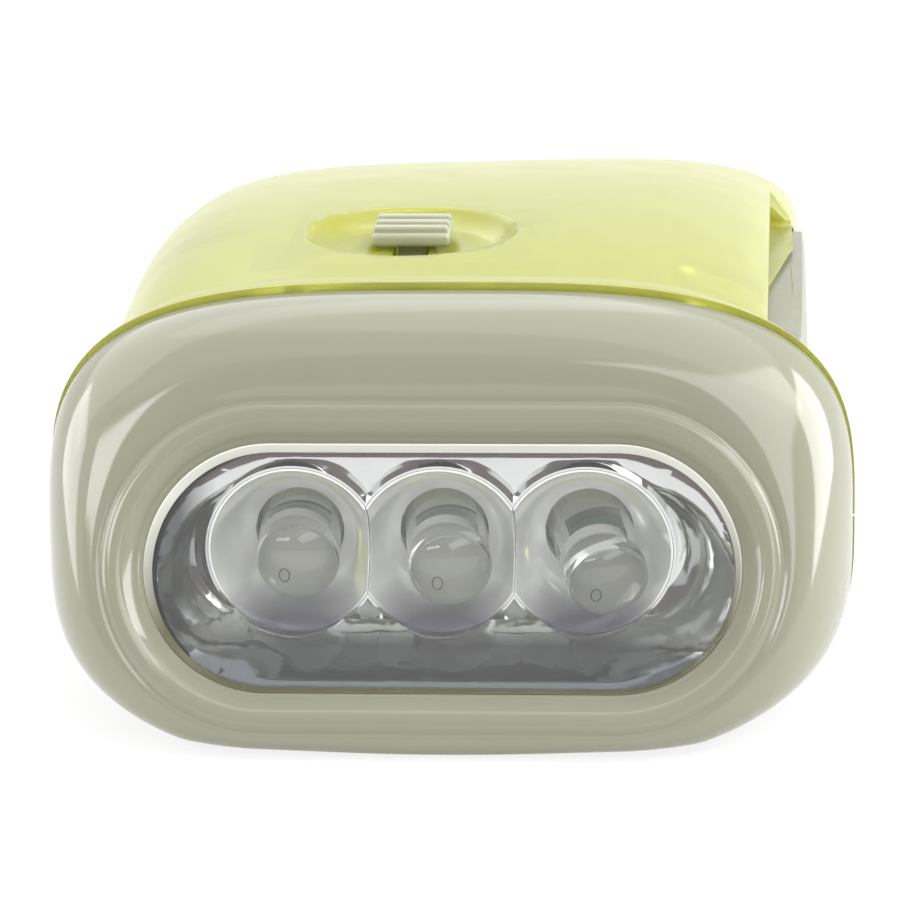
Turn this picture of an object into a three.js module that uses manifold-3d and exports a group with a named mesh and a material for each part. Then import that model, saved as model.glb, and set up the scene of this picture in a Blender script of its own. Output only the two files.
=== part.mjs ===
// Hand squeezed dynamo torch with three light emitting diodes, in millimetres, +Z up.
// The lit face looks along -Y and leans back, the squeeze lever lies on the +X side,
// the underside is the plane z = 0, and the origin is under the middle of the body.

import * as THREE from 'three';
import { mergeVertices } from 'three/addons/utils/BufferGeometryUtils.js';
import Module from 'manifold-3d';

const wasm = await Module();
wasm.setup();

const degree = Math.PI / 180;
const fullTurn = 2 * Math.PI;

// Whole torch
const bodyLength = 96;
const bodyHeight = 25.1;
const leftHalfWidth = 23.3;
const leftFrontHalfWidth = 22.1;
const rightHalfWidth = 21.3;
const bezelHalfWidth = 24.4;
const flangeStep = 0.1;
const bezelDrop = 0.2;
const seamSetback = 14.1;
const rearTopHeight = 11.7;
const widestHeight = 10.7;
const rearWidestHeight = 6.6;
const leverStepX = 19.2;
const leverStepSetback = 2.9;

// Walls and clearances
const shellWall = 1.6;
const floorThickness = 1.8;
const partingGap = 0.15;
const seatGap = 0.25;
const runningGap = 0.09;
const overrun = 1;
const mergeTolerance = 0.0001;

// Lit face
const faceRake = 25;
const windowHeight = 10.3;
const windowHalfLength = 17.9;
const windowHalfHeight = 7.55;
const windowLip = 1.3;
const funnelWidth = 1.1;
const crestRise = 1.1;
const crestWidth = 1.5;
const lensThickness = 1;
const lensRim = 0.7;
const pocketDepth = 4.1;
const bezelWall = 1.5;
const bezelFloor = 1;
const crestFall = 0.15;
const lipSharpness = 5.5;
const lipSpread = 2.2;
const lipDraft = 0.4;
const tongueShare = 0.012;
const insideShare = 0.45;
const shoulderShares = [0, 0.12, 0.28, 0.45, 0.63, 0.82, 1];

// Reflector and diodes
const reflectorRimThickness = 1;
const reflectorHeight = 9.8;
const mouthInset = 0.6;
const reflectorWall = 0.9;
const bowlBackHalfHeight = 6;
const bowlFloorHalfHeight = 3.6;
const bowlTaper = 2.4;
const ledPitch = 8.85;
const ledShift = -0.4;
const ledNods = [4, 11, 12];
const ledTurns = [3, 5, 9];
const ledSlips = [0.6, 0.2, 0];
const ledRadius = 2.5;
const ledLength = 9.1;
const ledFlangeRadius = 2.9;
const ledFlangeThickness = 1;
const ledLeadWidth = 0.5;
const ledLeadLength = 2.65;
const ledLeadPitch = 2.54;
const cupRadius = 5.2;
const cupDepth = 4;
const cupShares = [0, 0.08, 0.3, 0.6, 1];
const bowlFloorShare = 0.74;
const bowlBendShare = 0.35;
const bowlSpreadShare = 0.72;
const reflectorBackSetback = 14.6;
const ledBackSetback = 16.9;
const domeSteps = 4;
const ledHoleGap = 0.35;
const ledBoardThickness = 1.2;
const ledBoardHalfLength = 11.8;
const ledBoardHeight = 11;
const ledBoardLow = 5.7;
const ledPostX = 9.6;
const ledPostHeight = 6.6;

// Squeeze lever
const pivotX = 16.3;
const pivotSetback = 22.5;
const pivotPinRadius = 1.5;
const leverReach = 47.5;
const leverLow = 3.6;
const leverTopDrop = 6.1;
const leverRearTop = 14;
const leverProud = 0.5;
const leverWall = 1.8;
const leverFlange = 1.5;
const leverInnerX = 14.9;
const hubHollowRadius = 4.2;
const hubTopWall = 1.8;
const keyInner = 2.7;
const keyWidth = 1;
const leverRibShares = [0.3, 0.55, 0.8];
const ribThickness = 1.2;
const leverHubRadius = 5.4;
const leverGap = 0.4;
const leverCorner = 2.2;
const catchLength = 2.4;
const catchHeight = 3;
const catchThickness = 1.1;
const pivotBossRadius = 3.2;
const pivotPinRise = 2;
const pinHoleFloor = 0.9;

// Gear train
const sectorModule = 0.8;
const sectorWholeTeeth = 76;
const sectorCutTeeth = 8;
const firstSectorTooth = -1;
const stepPinionTeeth = 10;
const stepModule = 0.6;
const stepGearTeeth = 48;
const rotorPinionTeeth = 10;
const pressureAngle = 25;
const addendumShare = 0.8;
const dedendumShare = 1.1;
const backlashShare = 0.12;
const firstMeshAngle = 32;
const secondMeshAngle = 80;
const stepGearLow = 3.2;
const stepGearThickness = 2;
const sectorThickness = 2.6;
const levelGap = 0.8;
const pinRadius = 1;
const pinBossRadius = 2.4;
const flankSteps = 2;
const armInset = 4;
const gearWindowCount = 6;
const gearWindowSides = 12;
const gearWindowReachShare = 0.62;
const gearWindowRadiusShare = 0.17;
const sectorHubRadius = 3.9;
const pillarRadius = 2.1;
const pillarReach = 17.5;
const pillarAngles = [38, 148, 212];
const plateThickness = 1.2;
const plateHubRadius = 3.4;
const plateArmWidth = 3.6;
const platePadRadius = 2.5;
const sectorRimWidth = 4.4;
const sectorArmWidth = 3.4;

// Dynamo
const magnetRadius = 5.5;
const magnetHeight = 5.4;
const statorRadius = 9.4;
const statorPlate = 0.8;
const clawThickness = 0.7;
const clawCount = 4;
const bobbinWall = 0.6;
const airGap = 0.4;
const clawWidth = 2.6;
const statorHeight = 7.2;
const statorSeatRadius = 1.2;
const statorSeatReach = 8;
const statorSeatAngles = [20, 90, 160];

// Switch, board and cell
const switchX = -3.3;
const switchSetback = 30.1;
const dishHalfWidth = 6.7;
const dishHalfLength = 7.2;
const dishSink = 1.6;
const dishProfileShares = [[0, 0], [0.72, 0], [0.86, 0.25], [1, 1]];
const dishDepth = 1.2;
const knobWidth = 4.9;
const knobLength = 4.2;
const knobHeight = 0.9;
const knobRibCount = 3;
const knobRibHeight = 0.4;
const switchSlotDepth = 1.4;
const knobTravel = 2.5;
const knobStemWidth = 1.8;
const switchBodyWidth = 5.6;
const switchBodyLength = 9;
const switchBodyHeight = 2.2;
const boardThickness = 1.2;
const boardLeft = -13.2;
const boardRight = 6;
const boardLength = 15.7;
const boardPostRadius = 1.5;
const boardPegRadius = 0.7;
const boardPostInset = 2;
const rectifierCount = 4;
const rectifierRadius = 0.8;
const rectifierLength = 3.4;
const rectifierInset = 3;
const rectifierPitch = 2.3;
const capacitorRadius = 2.2;
const capacitorHeight = 5;
const capacitorInsetX = 7;
const capacitorInsetY = 3;
const wireRadius = 0.45;
const wireInset = 1.2;
const wireBow = 1.8;
const cellRadius = 5.8;
const cellLength = 16;
const cellX = -10;
const cellSetback = 25.3;
const cellRibXs = [-14.5, -5.5];
const cellRibDrop = 2.4;
const tabThickness = 0.3;
const tabHalfWidth = 2;

// Screws
const screwShankRadius = 1;
const screwHeadRadius = 2;
const screwHeadHeight = 1.3;
const screwBossRadius = 2.7;
const screwHoleGap = 0.1;
const screwSink = 0.9;
const screwSideX = 17;
const screwFrontSetback = 34;
const screwRearX = 9.5;
const screwRearShift = 4;
const screwRearSetback = 11.5;
const frontScrewSink = 8.1;
const rearScrewTop = 11.5;
const screwCrownShare = 0.7;
const recessDepthShare = 0.6;
const recessReachShare = 0.62;
const recessWidthShare = 0.16;
const plateScrewRadius = 0.8;
const plateScrewHead = 1.6;
const plateScrewHeadHeight = 0.9;
const plateScrewLength = 3.5;
const strapSetback = 5.6;
const strapX = -1;
const strapHoleRadius = 1.7;
const strapBossRadius = 3.2;

// Return spring and lock slider
const springRadius = 3;
const springWire = 0.8;
const springTurns = 3.25;
const springStart = 2.4;
const lockX = 12.4;
const lockReach = 6;
const lockTravel = 3;
const lockPadWidth = 6;
const lockPadLength = 6;
const lockPadDepth = 1;
const lockWellHigh = 1.5;
const lockStemX = 13.6;
const lockStemWidth = 2;
const lockStemLength = 3;
const lockFloorRise = 1;
const lockBarHeight = 1.1;
const lockBarRise = 0.95;
const lockFingerWidth = 1;
const lockGrooveCount = 3;

// Lengths worked out from the driving sizes
const flangeHalfWidth = bezelHalfWidth + flangeStep;
const bezelHeight = bodyHeight - bezelDrop;
const topFall = bodyHeight - rearTopHeight;
const frontY = -bodyLength / 2;
const rearY = bodyLength / 2;
const seamY = frontY + seamSetback;
const windowY = frontY
  + (windowHalfHeight + funnelWidth + crestWidth) * Math.sin(faceRake * degree)
  + (crestRise - crestFall) * Math.cos(faceRake * degree);
const pivotY = frontY + pivotSetback;
const switchY = frontY + switchSetback;
const cellY = frontY + cellSetback;
const leverRearY = pivotY + leverReach;
const leverFrontTop = bodyHeight - leverTopDrop;
const highHubLow = leverFrontTop - hubTopWall;
const pivotPinTop = leverFrontTop + pivotPinRise;
const dishFloor = bodyHeight - dishSink;
const boardTop = dishFloor - shellWall - switchBodyHeight - 2 * partingGap;
const cellHeight = floorThickness + cellRadius + seatGap;
const frontScrewTop = bodyHeight - frontScrewSink;
const sectorRadius = sectorModule * sectorWholeTeeth / 2;
const stepPinionRadius = sectorModule * stepPinionTeeth / 2;
const stepGearRadius = stepModule * stepGearTeeth / 2;
const rotorPinionRadius = stepModule * rotorPinionTeeth / 2;
const stepGearX = pivotX - (sectorRadius + stepPinionRadius) * Math.sin(firstMeshAngle * degree);
const stepGearY = pivotY + (sectorRadius + stepPinionRadius) * Math.cos(firstMeshAngle * degree);
const rotorX = stepGearX + (stepGearRadius + rotorPinionRadius) * Math.cos(secondMeshAngle * degree);
const rotorY = stepGearY + (stepGearRadius + rotorPinionRadius) * Math.sin(secondMeshAngle * degree);
const stepGearHigh = stepGearLow + stepGearThickness;
const sectorLow = stepGearHigh + levelGap;
const sectorHigh = sectorLow + sectorThickness;
const springLow = sectorHigh + seatGap;
const springRise = highHubLow - springLow - springWire - seatGap;
const reflectorBackY = frontY + reflectorBackSetback;
const ledBackY = frontY + ledBackSetback;
const ledXs = [ledShift - ledPitch, ledShift, ledShift + ledPitch];

// Colours and finishes
function paint(colour, roughness, metalness) {
  return new THREE.MeshStandardMaterial({ color: colour, roughness, metalness });
}

const yellowPlastic = () => paint(0xe0e05c, 0.25, 0);
const greyPlastic = () => paint(0xa8aa9a, 0.3, 0);
const clearPlastic = () => paint(0xf2f5f5, 0.05, 0);
const mirrorPlastic = () => paint(0xd8dadc, 0.12, 0.9);
const clearEpoxy = () => paint(0xe6eaec, 0.1, 0);
const whitePlastic = () => paint(0xe8e6dd, 0.5, 0);
const blackPlastic = () => paint(0x222322, 0.5, 0);
const boardGreen = () => paint(0x2f6b3c, 0.5, 0);
const steel = () => paint(0xb8babc, 0.35, 0.9);
const copper = () => paint(0xb06a35, 0.35, 0.8);
const ferrite = () => paint(0x3a3a3d, 0.6, 0.3);
const cellSleeve = () => paint(0x3f8f4e, 0.4, 0);
const redSleeve = () => paint(0xb5281f, 0.5, 0);
const blackSleeve = () => paint(0x1c1c1c, 0.5, 0);

// Solids
const torch = new THREE.Group();

function closed(geometry) {
  geometry.deleteAttribute('normal');
  geometry.deleteAttribute('uv');
  return mergeVertices(geometry, mergeTolerance);
}

function solid(geometry) {
  const merged = closed(geometry);
  return new wasm.Manifold(new wasm.Mesh({
    numProp: 3,
    vertProperties: new Float32Array(merged.attributes.position.array),
    triVerts: new Uint32Array(merged.index.array),
  }));
}

function surface(body) {
  const mesh = body.getMesh();
  const geometry = new THREE.BufferGeometry();
  geometry.setAttribute('position', new THREE.BufferAttribute(new Float32Array(mesh.vertProperties), 3));
  geometry.setIndex(new THREE.BufferAttribute(new Uint32Array(mesh.triVerts), 1));
  return geometry;
}

function add(name, body, material) {
  const geometry = body.isBufferGeometry ? closed(body) : surface(body);
  geometry.computeVertexNormals();
  const mesh = new THREE.Mesh(geometry, material);
  mesh.name = name;
  torch.add(mesh);
}

function block(low, high) {
  const size = new THREE.Vector3().subVectors(high, low);
  const geometry = new THREE.BoxGeometry(size.x, size.y, size.z);
  geometry.translate((low.x + high.x) / 2, (low.y + high.y) / 2, (low.z + high.z) / 2);
  return solid(geometry);
}

function spot(x, y, z) {
  return new THREE.Vector3(x, y, z);
}

function upright(radius, low, high, x, y, sides = 16) {
  const geometry = new THREE.CylinderGeometry(radius, radius, high - low, sides);
  geometry.rotateX(Math.PI / 2);
  geometry.translate(x, y, (low + high) / 2);
  return solid(geometry);
}

function prism(points, low, high) {
  const geometry = new THREE.ExtrudeGeometry(new THREE.Shape(points), { depth: high - low, bevelEnabled: false });
  geometry.translate(0, 0, low);
  return geometry;
}

// A turned piece whose axis stands up at x, y
function turned(profile, x, y, sides = 32) {
  const geometry = new THREE.LatheGeometry(profile.map(([r, z]) => new THREE.Vector2(r, z)), sides);
  geometry.rotateX(Math.PI / 2);
  geometry.translate(x, y, 0);
  return geometry;
}

// A skin through rings of points, closed by fans at its two ends or round on itself
function loft(rings, round = false) {
  const count = rings[0].length;
  const positions = rings.flat().flatMap((p) => [p.x, p.y, p.z]);
  const index = [];
  const bands = round ? rings.length : rings.length - 1;
  for (let i = 0; i < bands; i++) {
    const here = i * count;
    const next = ((i + 1) % rings.length) * count;
    for (let j = 0; j < count; j++) {
      const k = (j + 1) % count;
      index.push(here + j, here + k, next + k);
      index.push(here + j, next + k, next + j);
    }
  }
  if (!round) {
    for (const ring of [0, rings.length - 1]) {
      const middle = new THREE.Vector3();
      rings[ring].forEach((p) => middle.addScaledVector(p, 1 / count));
      const centre = positions.length / 3;
      positions.push(middle.x, middle.y, middle.z);
      for (let j = 0; j < count; j++) {
        const a = ring * count + j;
        const b = ring * count + (j + 1) % count;
        if (ring === 0) {
          index.push(centre, b, a);
        } else {
          index.push(centre, a, b);
        }
      }
    }
  }
  if (enclosedVolume(positions, index) < 0) {
    index.reverse();
  }
  const geometry = new THREE.BufferGeometry();
  geometry.setAttribute('position', new THREE.BufferAttribute(new Float32Array(positions), 3));
  geometry.setIndex(index);
  return geometry;
}

function enclosedVolume(positions, index) {
  let sum = 0;
  const corner = (i) => new THREE.Vector3().fromArray(positions, index[i] * 3);
  for (let i = 0; i < index.length; i += 3) {
    sum += corner(i).dot(corner(i + 1).cross(corner(i + 2))) / 6;
  }
  return sum;
}

// Outlines, each given as the distance from a centre along a direction
function obroundReach(c, s, halfLength, halfHeight) {
  const straight = halfLength - halfHeight;
  const across = Math.abs(s) > 0 ? halfHeight / Math.abs(s) : Infinity;
  if (across * Math.abs(c) <= straight) {
    return across;
  }
  return straight * Math.abs(c) + Math.sqrt(halfHeight ** 2 - (straight * s) ** 2);
}

function roundedReach(c, s, halfWidth, halfHeight, power) {
  return ((Math.abs(c) / halfWidth) ** power + (Math.abs(s) / halfHeight) ** power) ** (-1 / power);
}

const aroundCount = 40;
const endCrowdingShare = 1.4;

function directions() {
  const list = [];
  for (let i = 0; i < aroundCount; i++) {
    const turn = fullTurn * i / aroundCount;
    const c = endCrowdingShare * Math.cos(turn);
    const s = Math.sin(turn);
    const long = Math.hypot(c, s);
    list.push([c / long, s / long]);
  }
  return list;
}

function onFace(across, up, out) {
  const lean = faceRake * degree;
  const y = windowY + up * Math.sin(lean) - out * Math.cos(lean);
  const z = windowHeight + up * Math.cos(lean) + out * Math.sin(lean);
  return new THREE.Vector3(across, y, z);
}

function faceRing(halfLength, halfHeight, out) {
  return directions().map(([c, s]) => {
    const reach = obroundReach(c, s, halfLength, halfHeight);
    return onFace(c * reach, s * reach, out);
  });
}

function standingRing(halfLength, halfHeight, y, z) {
  return directions().map(([c, s]) => {
    const reach = obroundReach(c, s, halfLength, halfHeight);
    return new THREE.Vector3(c * reach, y, z + s * reach);
  });
}

// Housing form, as sections square to Y from the seam back to the rear end
const seamTopPower = 3.3;
const restTopPower = 4;
const seamLowerPower = 3.6;
const restLowerPower = 4;
const flareShare = 0.03;
const fallStartShare = 0.04;
const leftRoundShare = 0.76;
const waistShare = 0.45;
const rearSkewShare = 0.18;
const rearSkewMiddle = 6;
const rightRoundShare = 0.84;
const topRoundShare = 0.8;
const endShare = 0.985;
const roundPower = 2.5;
const flatShare = 1.08;
const sectionShares = [0, 0.01, 0.02, 0.03, 0.2, 0.36, 0.52, 0.66, 0.77, 0.86, 0.92, 0.96, 0.985, 1];

function eased(t) {
  const u = Math.min(Math.max(t, 0), 1);
  return u * u * (3 - 2 * u);
}

function rounding(share, start) {
  const t = Math.max(0, (share - start) / (1 - start)) * endShare;
  return (1 - t ** roundPower) ** (1 / roundPower);
}

function housingRing(share, y, inset, low) {
  const flare = 1 - eased(share / flareShare);
  const fall = topFall * Math.max(0, (share - fallStartShare) / (1 - fallStartShare)) ** 2;
  const middle = widestHeight + (rearWidestHeight - widestHeight) * share;
  const topPower = restTopPower + (seamTopPower - restTopPower) * flare;
  const lowerPower = restLowerPower + (seamLowerPower - restLowerPower) * flare;
  const topHalf = (bodyHeight + seatGap * flare - fall - middle - inset) * rounding(share, topRoundShare);
  const lowHalf = (middle * flatShare - inset) * rounding(share, topRoundShare);
  return directions().map(([c, s]) => {
    const side = c > 0 ? rightRoundShare : leftRoundShare;
    const waist = (leftHalfWidth - leftFrontHalfWidth) * (1 - eased(share / waistShare));
    const rest = c > 0 ? rightHalfWidth : leftHalfWidth - waist;
    const wide = (rest + (flangeHalfWidth - rest) * flare - inset) * rounding(share, side);
    const reach = s > 0
      ? roundedReach(c, s, wide, topHalf, topPower)
      : roundedReach(c, s, wide, lowHalf, lowerPower);
    const skew = rearSkewShare * share ** 2 * (c * reach - rearSkewMiddle);
    return new THREE.Vector3(c * reach, y + skew, Math.max(low, middle + s * reach));
  });
}

function housingForm(inset, low, lead = 0) {
  const length = rearY - inset - seamY;
  const rings = sectionShares.map((share) => housingRing(share, seamY + share * length, inset, low));
  if (lead > 0) {
    rings.unshift(housingRing(0, seamY - lead, inset, low));
  }
  return solid(loft(rings));
}


function leverTopAt(y) {
  const slope = (leverRearTop - leverFrontTop) / (leverRearY - pivotY);
  return leverFrontTop + slope * Math.max(0, y - pivotY);
}

// A side outline in Y and Z, drawn out across the body from one of its sides
function drawnAcross(outline, lowX) {
  const geometry = new THREE.ExtrudeGeometry(outline, {
    depth: 2 * bodyLength,
    bevelEnabled: false,
    curveSegments: 4,
  });
  geometry.rotateX(Math.PI / 2);
  geometry.rotateZ(Math.PI / 2);
  geometry.translate(lowX, 0, 0);
  return solid(geometry);
}

// The step in the right side of the roof, where the top of the lever shows, grown by a wall
function leverStep(wall) {
  const front = seamY + leverStepSetback - wall;
  const rear = leverRearY + leverGap + wall;
  return drawnAcross(new THREE.Shape([
    new THREE.Vector2(front, leverTopAt(front) + leverGap - wall),
    new THREE.Vector2(pivotY, leverTopAt(pivotY) + leverGap - wall),
    new THREE.Vector2(rear, leverTopAt(rear) + leverGap - wall),
    new THREE.Vector2(rear, bodyHeight + overrun),
    new THREE.Vector2(front, bodyHeight + overrun),
  ]), leverStepX - wall);
}

const outerForm = housingForm(0, 0).subtract(leverStep(0));
const innerForm = housingForm(shellWall, floorThickness, overrun).subtract(leverStep(shellWall));

// Side outline of the squeeze lever, grown by a margin, as a prism across the body
function leverSide(margin, innerX) {
  const front = pivotY - leverHubRadius - margin;
  const rear = leverRearY + margin;
  const topAt = (y) => leverTopAt(y) + margin;
  const corner = leverCorner + margin;
  const outline = new THREE.Shape();
  outline.moveTo(front, leverLow - margin);
  outline.lineTo(rear - corner, leverLow - margin);
  outline.quadraticCurveTo(rear, leverLow - margin, rear, leverLow - margin + corner);
  outline.lineTo(rear, topAt(rear) - corner);
  outline.quadraticCurveTo(rear, topAt(rear), rear - corner, topAt(rear - corner));
  outline.lineTo(pivotY, topAt(pivotY));
  outline.lineTo(front, topAt(pivotY));
  return drawnAcross(outline, innerX);
}

// The part of a solid behind the pivot, where the lever is a bar and no longer a round hub
function behindPivot(body) {
  return body.intersect(block(spot(-bodyLength, pivotY, -overrun), spot(bodyLength, bodyLength, bodyLength)));
}

// The space above or below the parting line, which follows the widest height of the sections
function partingSide(upper, gap) {
  const level = upper ? bodyLength : -bodyLength;
  const rearLevel = rearWidestHeight + gap;
  return drawnAcross(new THREE.Shape([
    new THREE.Vector2(seamY - overrun, widestHeight + gap),
    new THREE.Vector2(rearY + overrun, rearLevel),
    new THREE.Vector2(rearY + overrun, level),
    new THREE.Vector2(seamY - overrun, level),
  ]), -bodyLength);
}

// Places on the housing
const pillarSpots = pillarAngles.map((angle) => [
  stepGearX + pillarReach * Math.cos(angle * degree),
  stepGearY + pillarReach * Math.sin(angle * degree),
]);
const caseScrewSpots = [
  [-screwSideX, frontY + screwFrontSetback],
  [-screwRearX, rearY - screwRearSetback],
  [screwRearX - screwRearShift, rearY - screwRearSetback],
];
const strapY = rearY - strapSetback;
const plateLow = sectorHigh + levelGap;
const plateHigh = plateLow + plateThickness;
const pinSeat = stepGearLow - seatGap;
const catchLow = leverLow + leverFlange;
const catchHigh = catchLow + catchHeight;
const leverHubTop = leverFrontTop;
const lowHubHigh = sectorLow - seatGap;
const statorLow = sectorLow + seatGap;
const statorHigh = statorLow + statorHeight;
const dishY = switchY - knobTravel / 2;
const boardLow = boardTop - boardThickness;
const ledBoardFront = ledBackY + Math.max(...ledSlips) + partingGap + seatGap;
const ledBoardBack = ledBoardFront + ledBoardThickness;
const boardFront = ledBoardBack + seatGap;
const boardBack = boardFront + boardLength;
const lockY = leverRearY + lockReach;
const lockFingerX = leverInnerX + catchThickness + seatGap;
const lockFloor = floorThickness + lockFloorRise;
const lockBarLow = lockFloor + lockBarRise;
const leverSlot = behindPivot(leverSide(leverGap, leverInnerX - leverGap))
  .add(upright(leverHubRadius + leverGap, leverLow - leverGap, leverHubTop + leverGap, pivotX, pivotY, 40));
const catchNotch = block(
  spot(leverInnerX - leverGap, leverRearY - overrun, catchLow - leverGap),
  spot(bodyLength, leverRearY + catchLength + 2 * leverGap, catchHigh + leverGap),
);

function boss(radius, low, high, x, y) {
  return upright(radius, low, high, x, y).intersect(outerForm);
}

function pinHole(radius, low, high, x, y) {
  return upright(radius + runningGap, low, high, x, y);
}

function shellBottom() {
  let shell = outerForm.subtract(innerForm).intersect(partingSide(false, 0));
  shell = shell.subtract(leverSlot).subtract(catchNotch);
  const parts = [
    boss(pivotBossRadius, 0, leverLow - seatGap, pivotX, pivotY),
    boss(pinBossRadius, 0, pinSeat, stepGearX, stepGearY),
    boss(pinBossRadius, 0, pinSeat, rotorX, rotorY),
    boss(strapBossRadius, 0, bodyHeight, strapX, strapY).intersect(partingSide(false, 0)),
  ];
  for (const [x, y] of pillarSpots) {
    parts.push(boss(pillarRadius, 0, plateLow, x, y));
  }
  for (const [x, y] of caseScrewSpots) {
    parts.push(boss(screwBossRadius, 0, bodyHeight, x, y).intersect(partingSide(false, 0)));
  }
  for (const angle of statorSeatAngles) {
    const x = rotorX + statorSeatReach * Math.cos(angle * degree);
    const y = rotorY + statorSeatReach * Math.sin(angle * degree);
    parts.push(boss(statorSeatRadius, 0, statorLow, x, y));
  }
  for (const x of cellRibXs) {
    const rib = block(
      spot(x - ribThickness / 2, cellY - cellRadius, 0),
      spot(x + ribThickness / 2, cellY + cellRadius, cellHeight - cellRibDrop),
    );
    parts.push(rib.intersect(outerForm));
  }
  for (const side of [-1, 1]) {
    const x = side * ledPostX;
    const post = block(
      spot(x - ribThickness, ledBoardFront - ribThickness, 0),
      spot(x + ribThickness, ledBoardBack + ribThickness, ledPostHeight),
    );
    parts.push(post.intersect(outerForm));
  }
  parts.push(block(
    spot(lockX - lockPadWidth, lockY - lockPadLength - lockTravel / 2, 0),
    spot(lockX + lockPadWidth, lockY + lockPadLength - lockTravel / 2, lockFloor),
  ).intersect(outerForm));
  parts.forEach((part) => { shell = shell.add(part); });
  const cuts = [
    pinHole(pivotPinRadius, pinHoleFloor, leverLow, pivotX, pivotY),
    pinHole(pinRadius, pinHoleFloor, stepGearLow, stepGearX, stepGearY),
    pinHole(pinRadius, pinHoleFloor, stepGearLow, rotorX, rotorY),
    upright(strapHoleRadius, -overrun, bodyHeight, strapX, strapY),
    lyingCylinder(cellRadius + seatGap, cellLength + 2 * ribThickness, cellX, cellY, cellHeight),
    block(
      spot(-ledBoardHalfLength - seatGap, ledBoardFront - seatGap, ledBoardLow - seatGap),
      spot(ledBoardHalfLength + seatGap, ledBoardBack + seatGap, bodyHeight),
    ),
    block(
      spot(lockX - lockPadWidth / 2 - seatGap, lockY - lockPadLength / 2 - lockTravel - seatGap, -overrun),
      spot(lockX + lockPadWidth / 2 + seatGap, lockY + lockPadLength / 2 + seatGap, lockWellHigh),
    ),
    block(
      spot(lockStemX - lockStemWidth / 2 - seatGap, lockY - lockStemLength / 2 - lockTravel - seatGap, 0),
      spot(lockStemX + lockStemWidth / 2 + seatGap, lockY + lockStemLength / 2 + seatGap, lockFloor + overrun),
    ),
  ];
  for (const [x, y] of caseScrewSpots) {
    cuts.push(upright(screwShankRadius + screwHoleGap, -overrun, bodyHeight, x, y));
    cuts.push(upright(screwHeadRadius + seatGap, -overrun, screwHeadHeight + screwSink, x, y));
  }
  for (const [x, y] of pillarSpots) {
    cuts.push(upright(plateScrewRadius + screwHoleGap, plateLow - plateScrewLength - seatGap, plateLow + overrun, x, y));
  }
  cuts.forEach((cut) => { shell = shell.subtract(cut); });
  return shell;
}

function dish() {
  const profile = dishProfileShares.map(([r, z]) => [r, z * dishDepth]);
  profile.push([1 + overrun, bodyHeight], [0, bodyHeight]);
  const geometry = turned(profile, 0, 0, 32);
  geometry.scale(dishHalfWidth, dishHalfLength, 1);
  geometry.translate(switchX, dishY, dishFloor);
  return solid(geometry);
}

function shellTop() {
  const upper = partingSide(true, partingGap);
  let shell = outerForm.subtract(innerForm).intersect(upper);
  shell = shell.add(outerForm.intersect(block(
    spot(switchX - dishHalfWidth - shellWall / 2, dishY - dishHalfLength - shellWall / 2, dishFloor - shellWall),
    spot(switchX + dishHalfWidth + shellWall / 2, dishY + dishHalfLength + shellWall / 2, bodyHeight + overrun),
  )));
  shell = shell.subtract(leverSlot).subtract(catchNotch);
  const parts = [
    boss(pivotBossRadius, leverHubTop + seatGap, bodyHeight, pivotX, pivotY),
    boss(strapBossRadius, 0, bodyHeight, strapX, strapY).intersect(upper),
  ];
  for (const [x, y] of caseScrewSpots) {
    parts.push(boss(screwBossRadius, 0, bodyHeight, x, y).intersect(upper));
  }
  for (const [x, y] of boardPostSpots()) {
    parts.push(boss(boardPostRadius, boardTop + seatGap, bodyHeight, x, y));
    parts.push(boss(boardPegRadius, boardLow - overrun / 2, bodyHeight, x, y));
  }
  parts.forEach((part) => { shell = shell.add(part); });
  shell = shell.subtract(dish());
  const cuts = [
    pinHole(pivotPinRadius, leverHubTop, pivotPinTop, pivotX, pivotY),
    upright(strapHoleRadius, -overrun, bodyHeight, strapX, strapY),
    block(
      spot(switchX - knobStemWidth / 2 - seatGap, switchY - knobStemWidth / 2 - knobTravel - seatGap, boardTop),
      spot(switchX + knobStemWidth / 2 + seatGap, switchY + knobStemWidth / 2 + seatGap, bodyHeight + overrun),
    ),
  ];
  for (const [x, y] of caseScrewSpots) {
    cuts.push(upright(screwShankRadius + screwHoleGap, 0, caseScrewTop(x) + seatGap, x, y));
  }
  cuts.forEach((cut) => { shell = shell.subtract(cut); });
  return shell;
}

function boardPostSpots() {
  return [
    [boardRight - boardPostInset, boardBack - boardPostInset],
    [boardLeft + boardPostInset, boardFront + boardPostInset],
  ];
}

function lyingCylinder(radius, length, x, y, z) {
  const geometry = new THREE.CylinderGeometry(radius, radius, length, 28);
  geometry.rotateZ(Math.PI / 2);
  geometry.translate(x, y, z);
  return solid(geometry);
}

add('shell_top', shellTop(), yellowPlastic());
add('shell_bottom', shellBottom(), yellowPlastic());

// Bezel, one ring from the crest round the window over the shoulder to the tongue in the housing
function bezelRing(share, inset, setback = 0, low = 0) {
  const swing = share * Math.PI / 2;
  const crest = faceRing(
    windowHalfLength + funnelWidth + crestWidth - inset,
    windowHalfHeight + funnelWidth + crestWidth - inset,
    crestRise - crestFall,
  );
  const wide = bezelHalfWidth - inset;
  const topHalf = bezelHeight - widestHeight - inset;
  const lowHalf = widestHeight * flatShare;
  return directions().map(([c, s], i) => {
    const reach = s > 0
      ? roundedReach(c, s, wide, topHalf, seamTopPower)
      : roundedReach(c, s, wide, lowHalf, seamLowerPower);
    const z = Math.max(low, widestHeight + s * reach);
    const start = crest[i];
    const out = Math.sin(swing);
    const back = 1 - Math.cos(swing);
    const rise = s > 0 ? out : 1 - (1 - out) ** (1 + (lipSharpness - 1) * Math.abs(s) ** lipSpread);
    const level = Math.max(low, start.z);
    return new THREE.Vector3(
      start.x + (c * reach - start.x) * out,
      start.y + (seamY - partingGap - start.y) * back + setback,
      level + (z - level) * rise,
    );
  });
}

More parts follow.
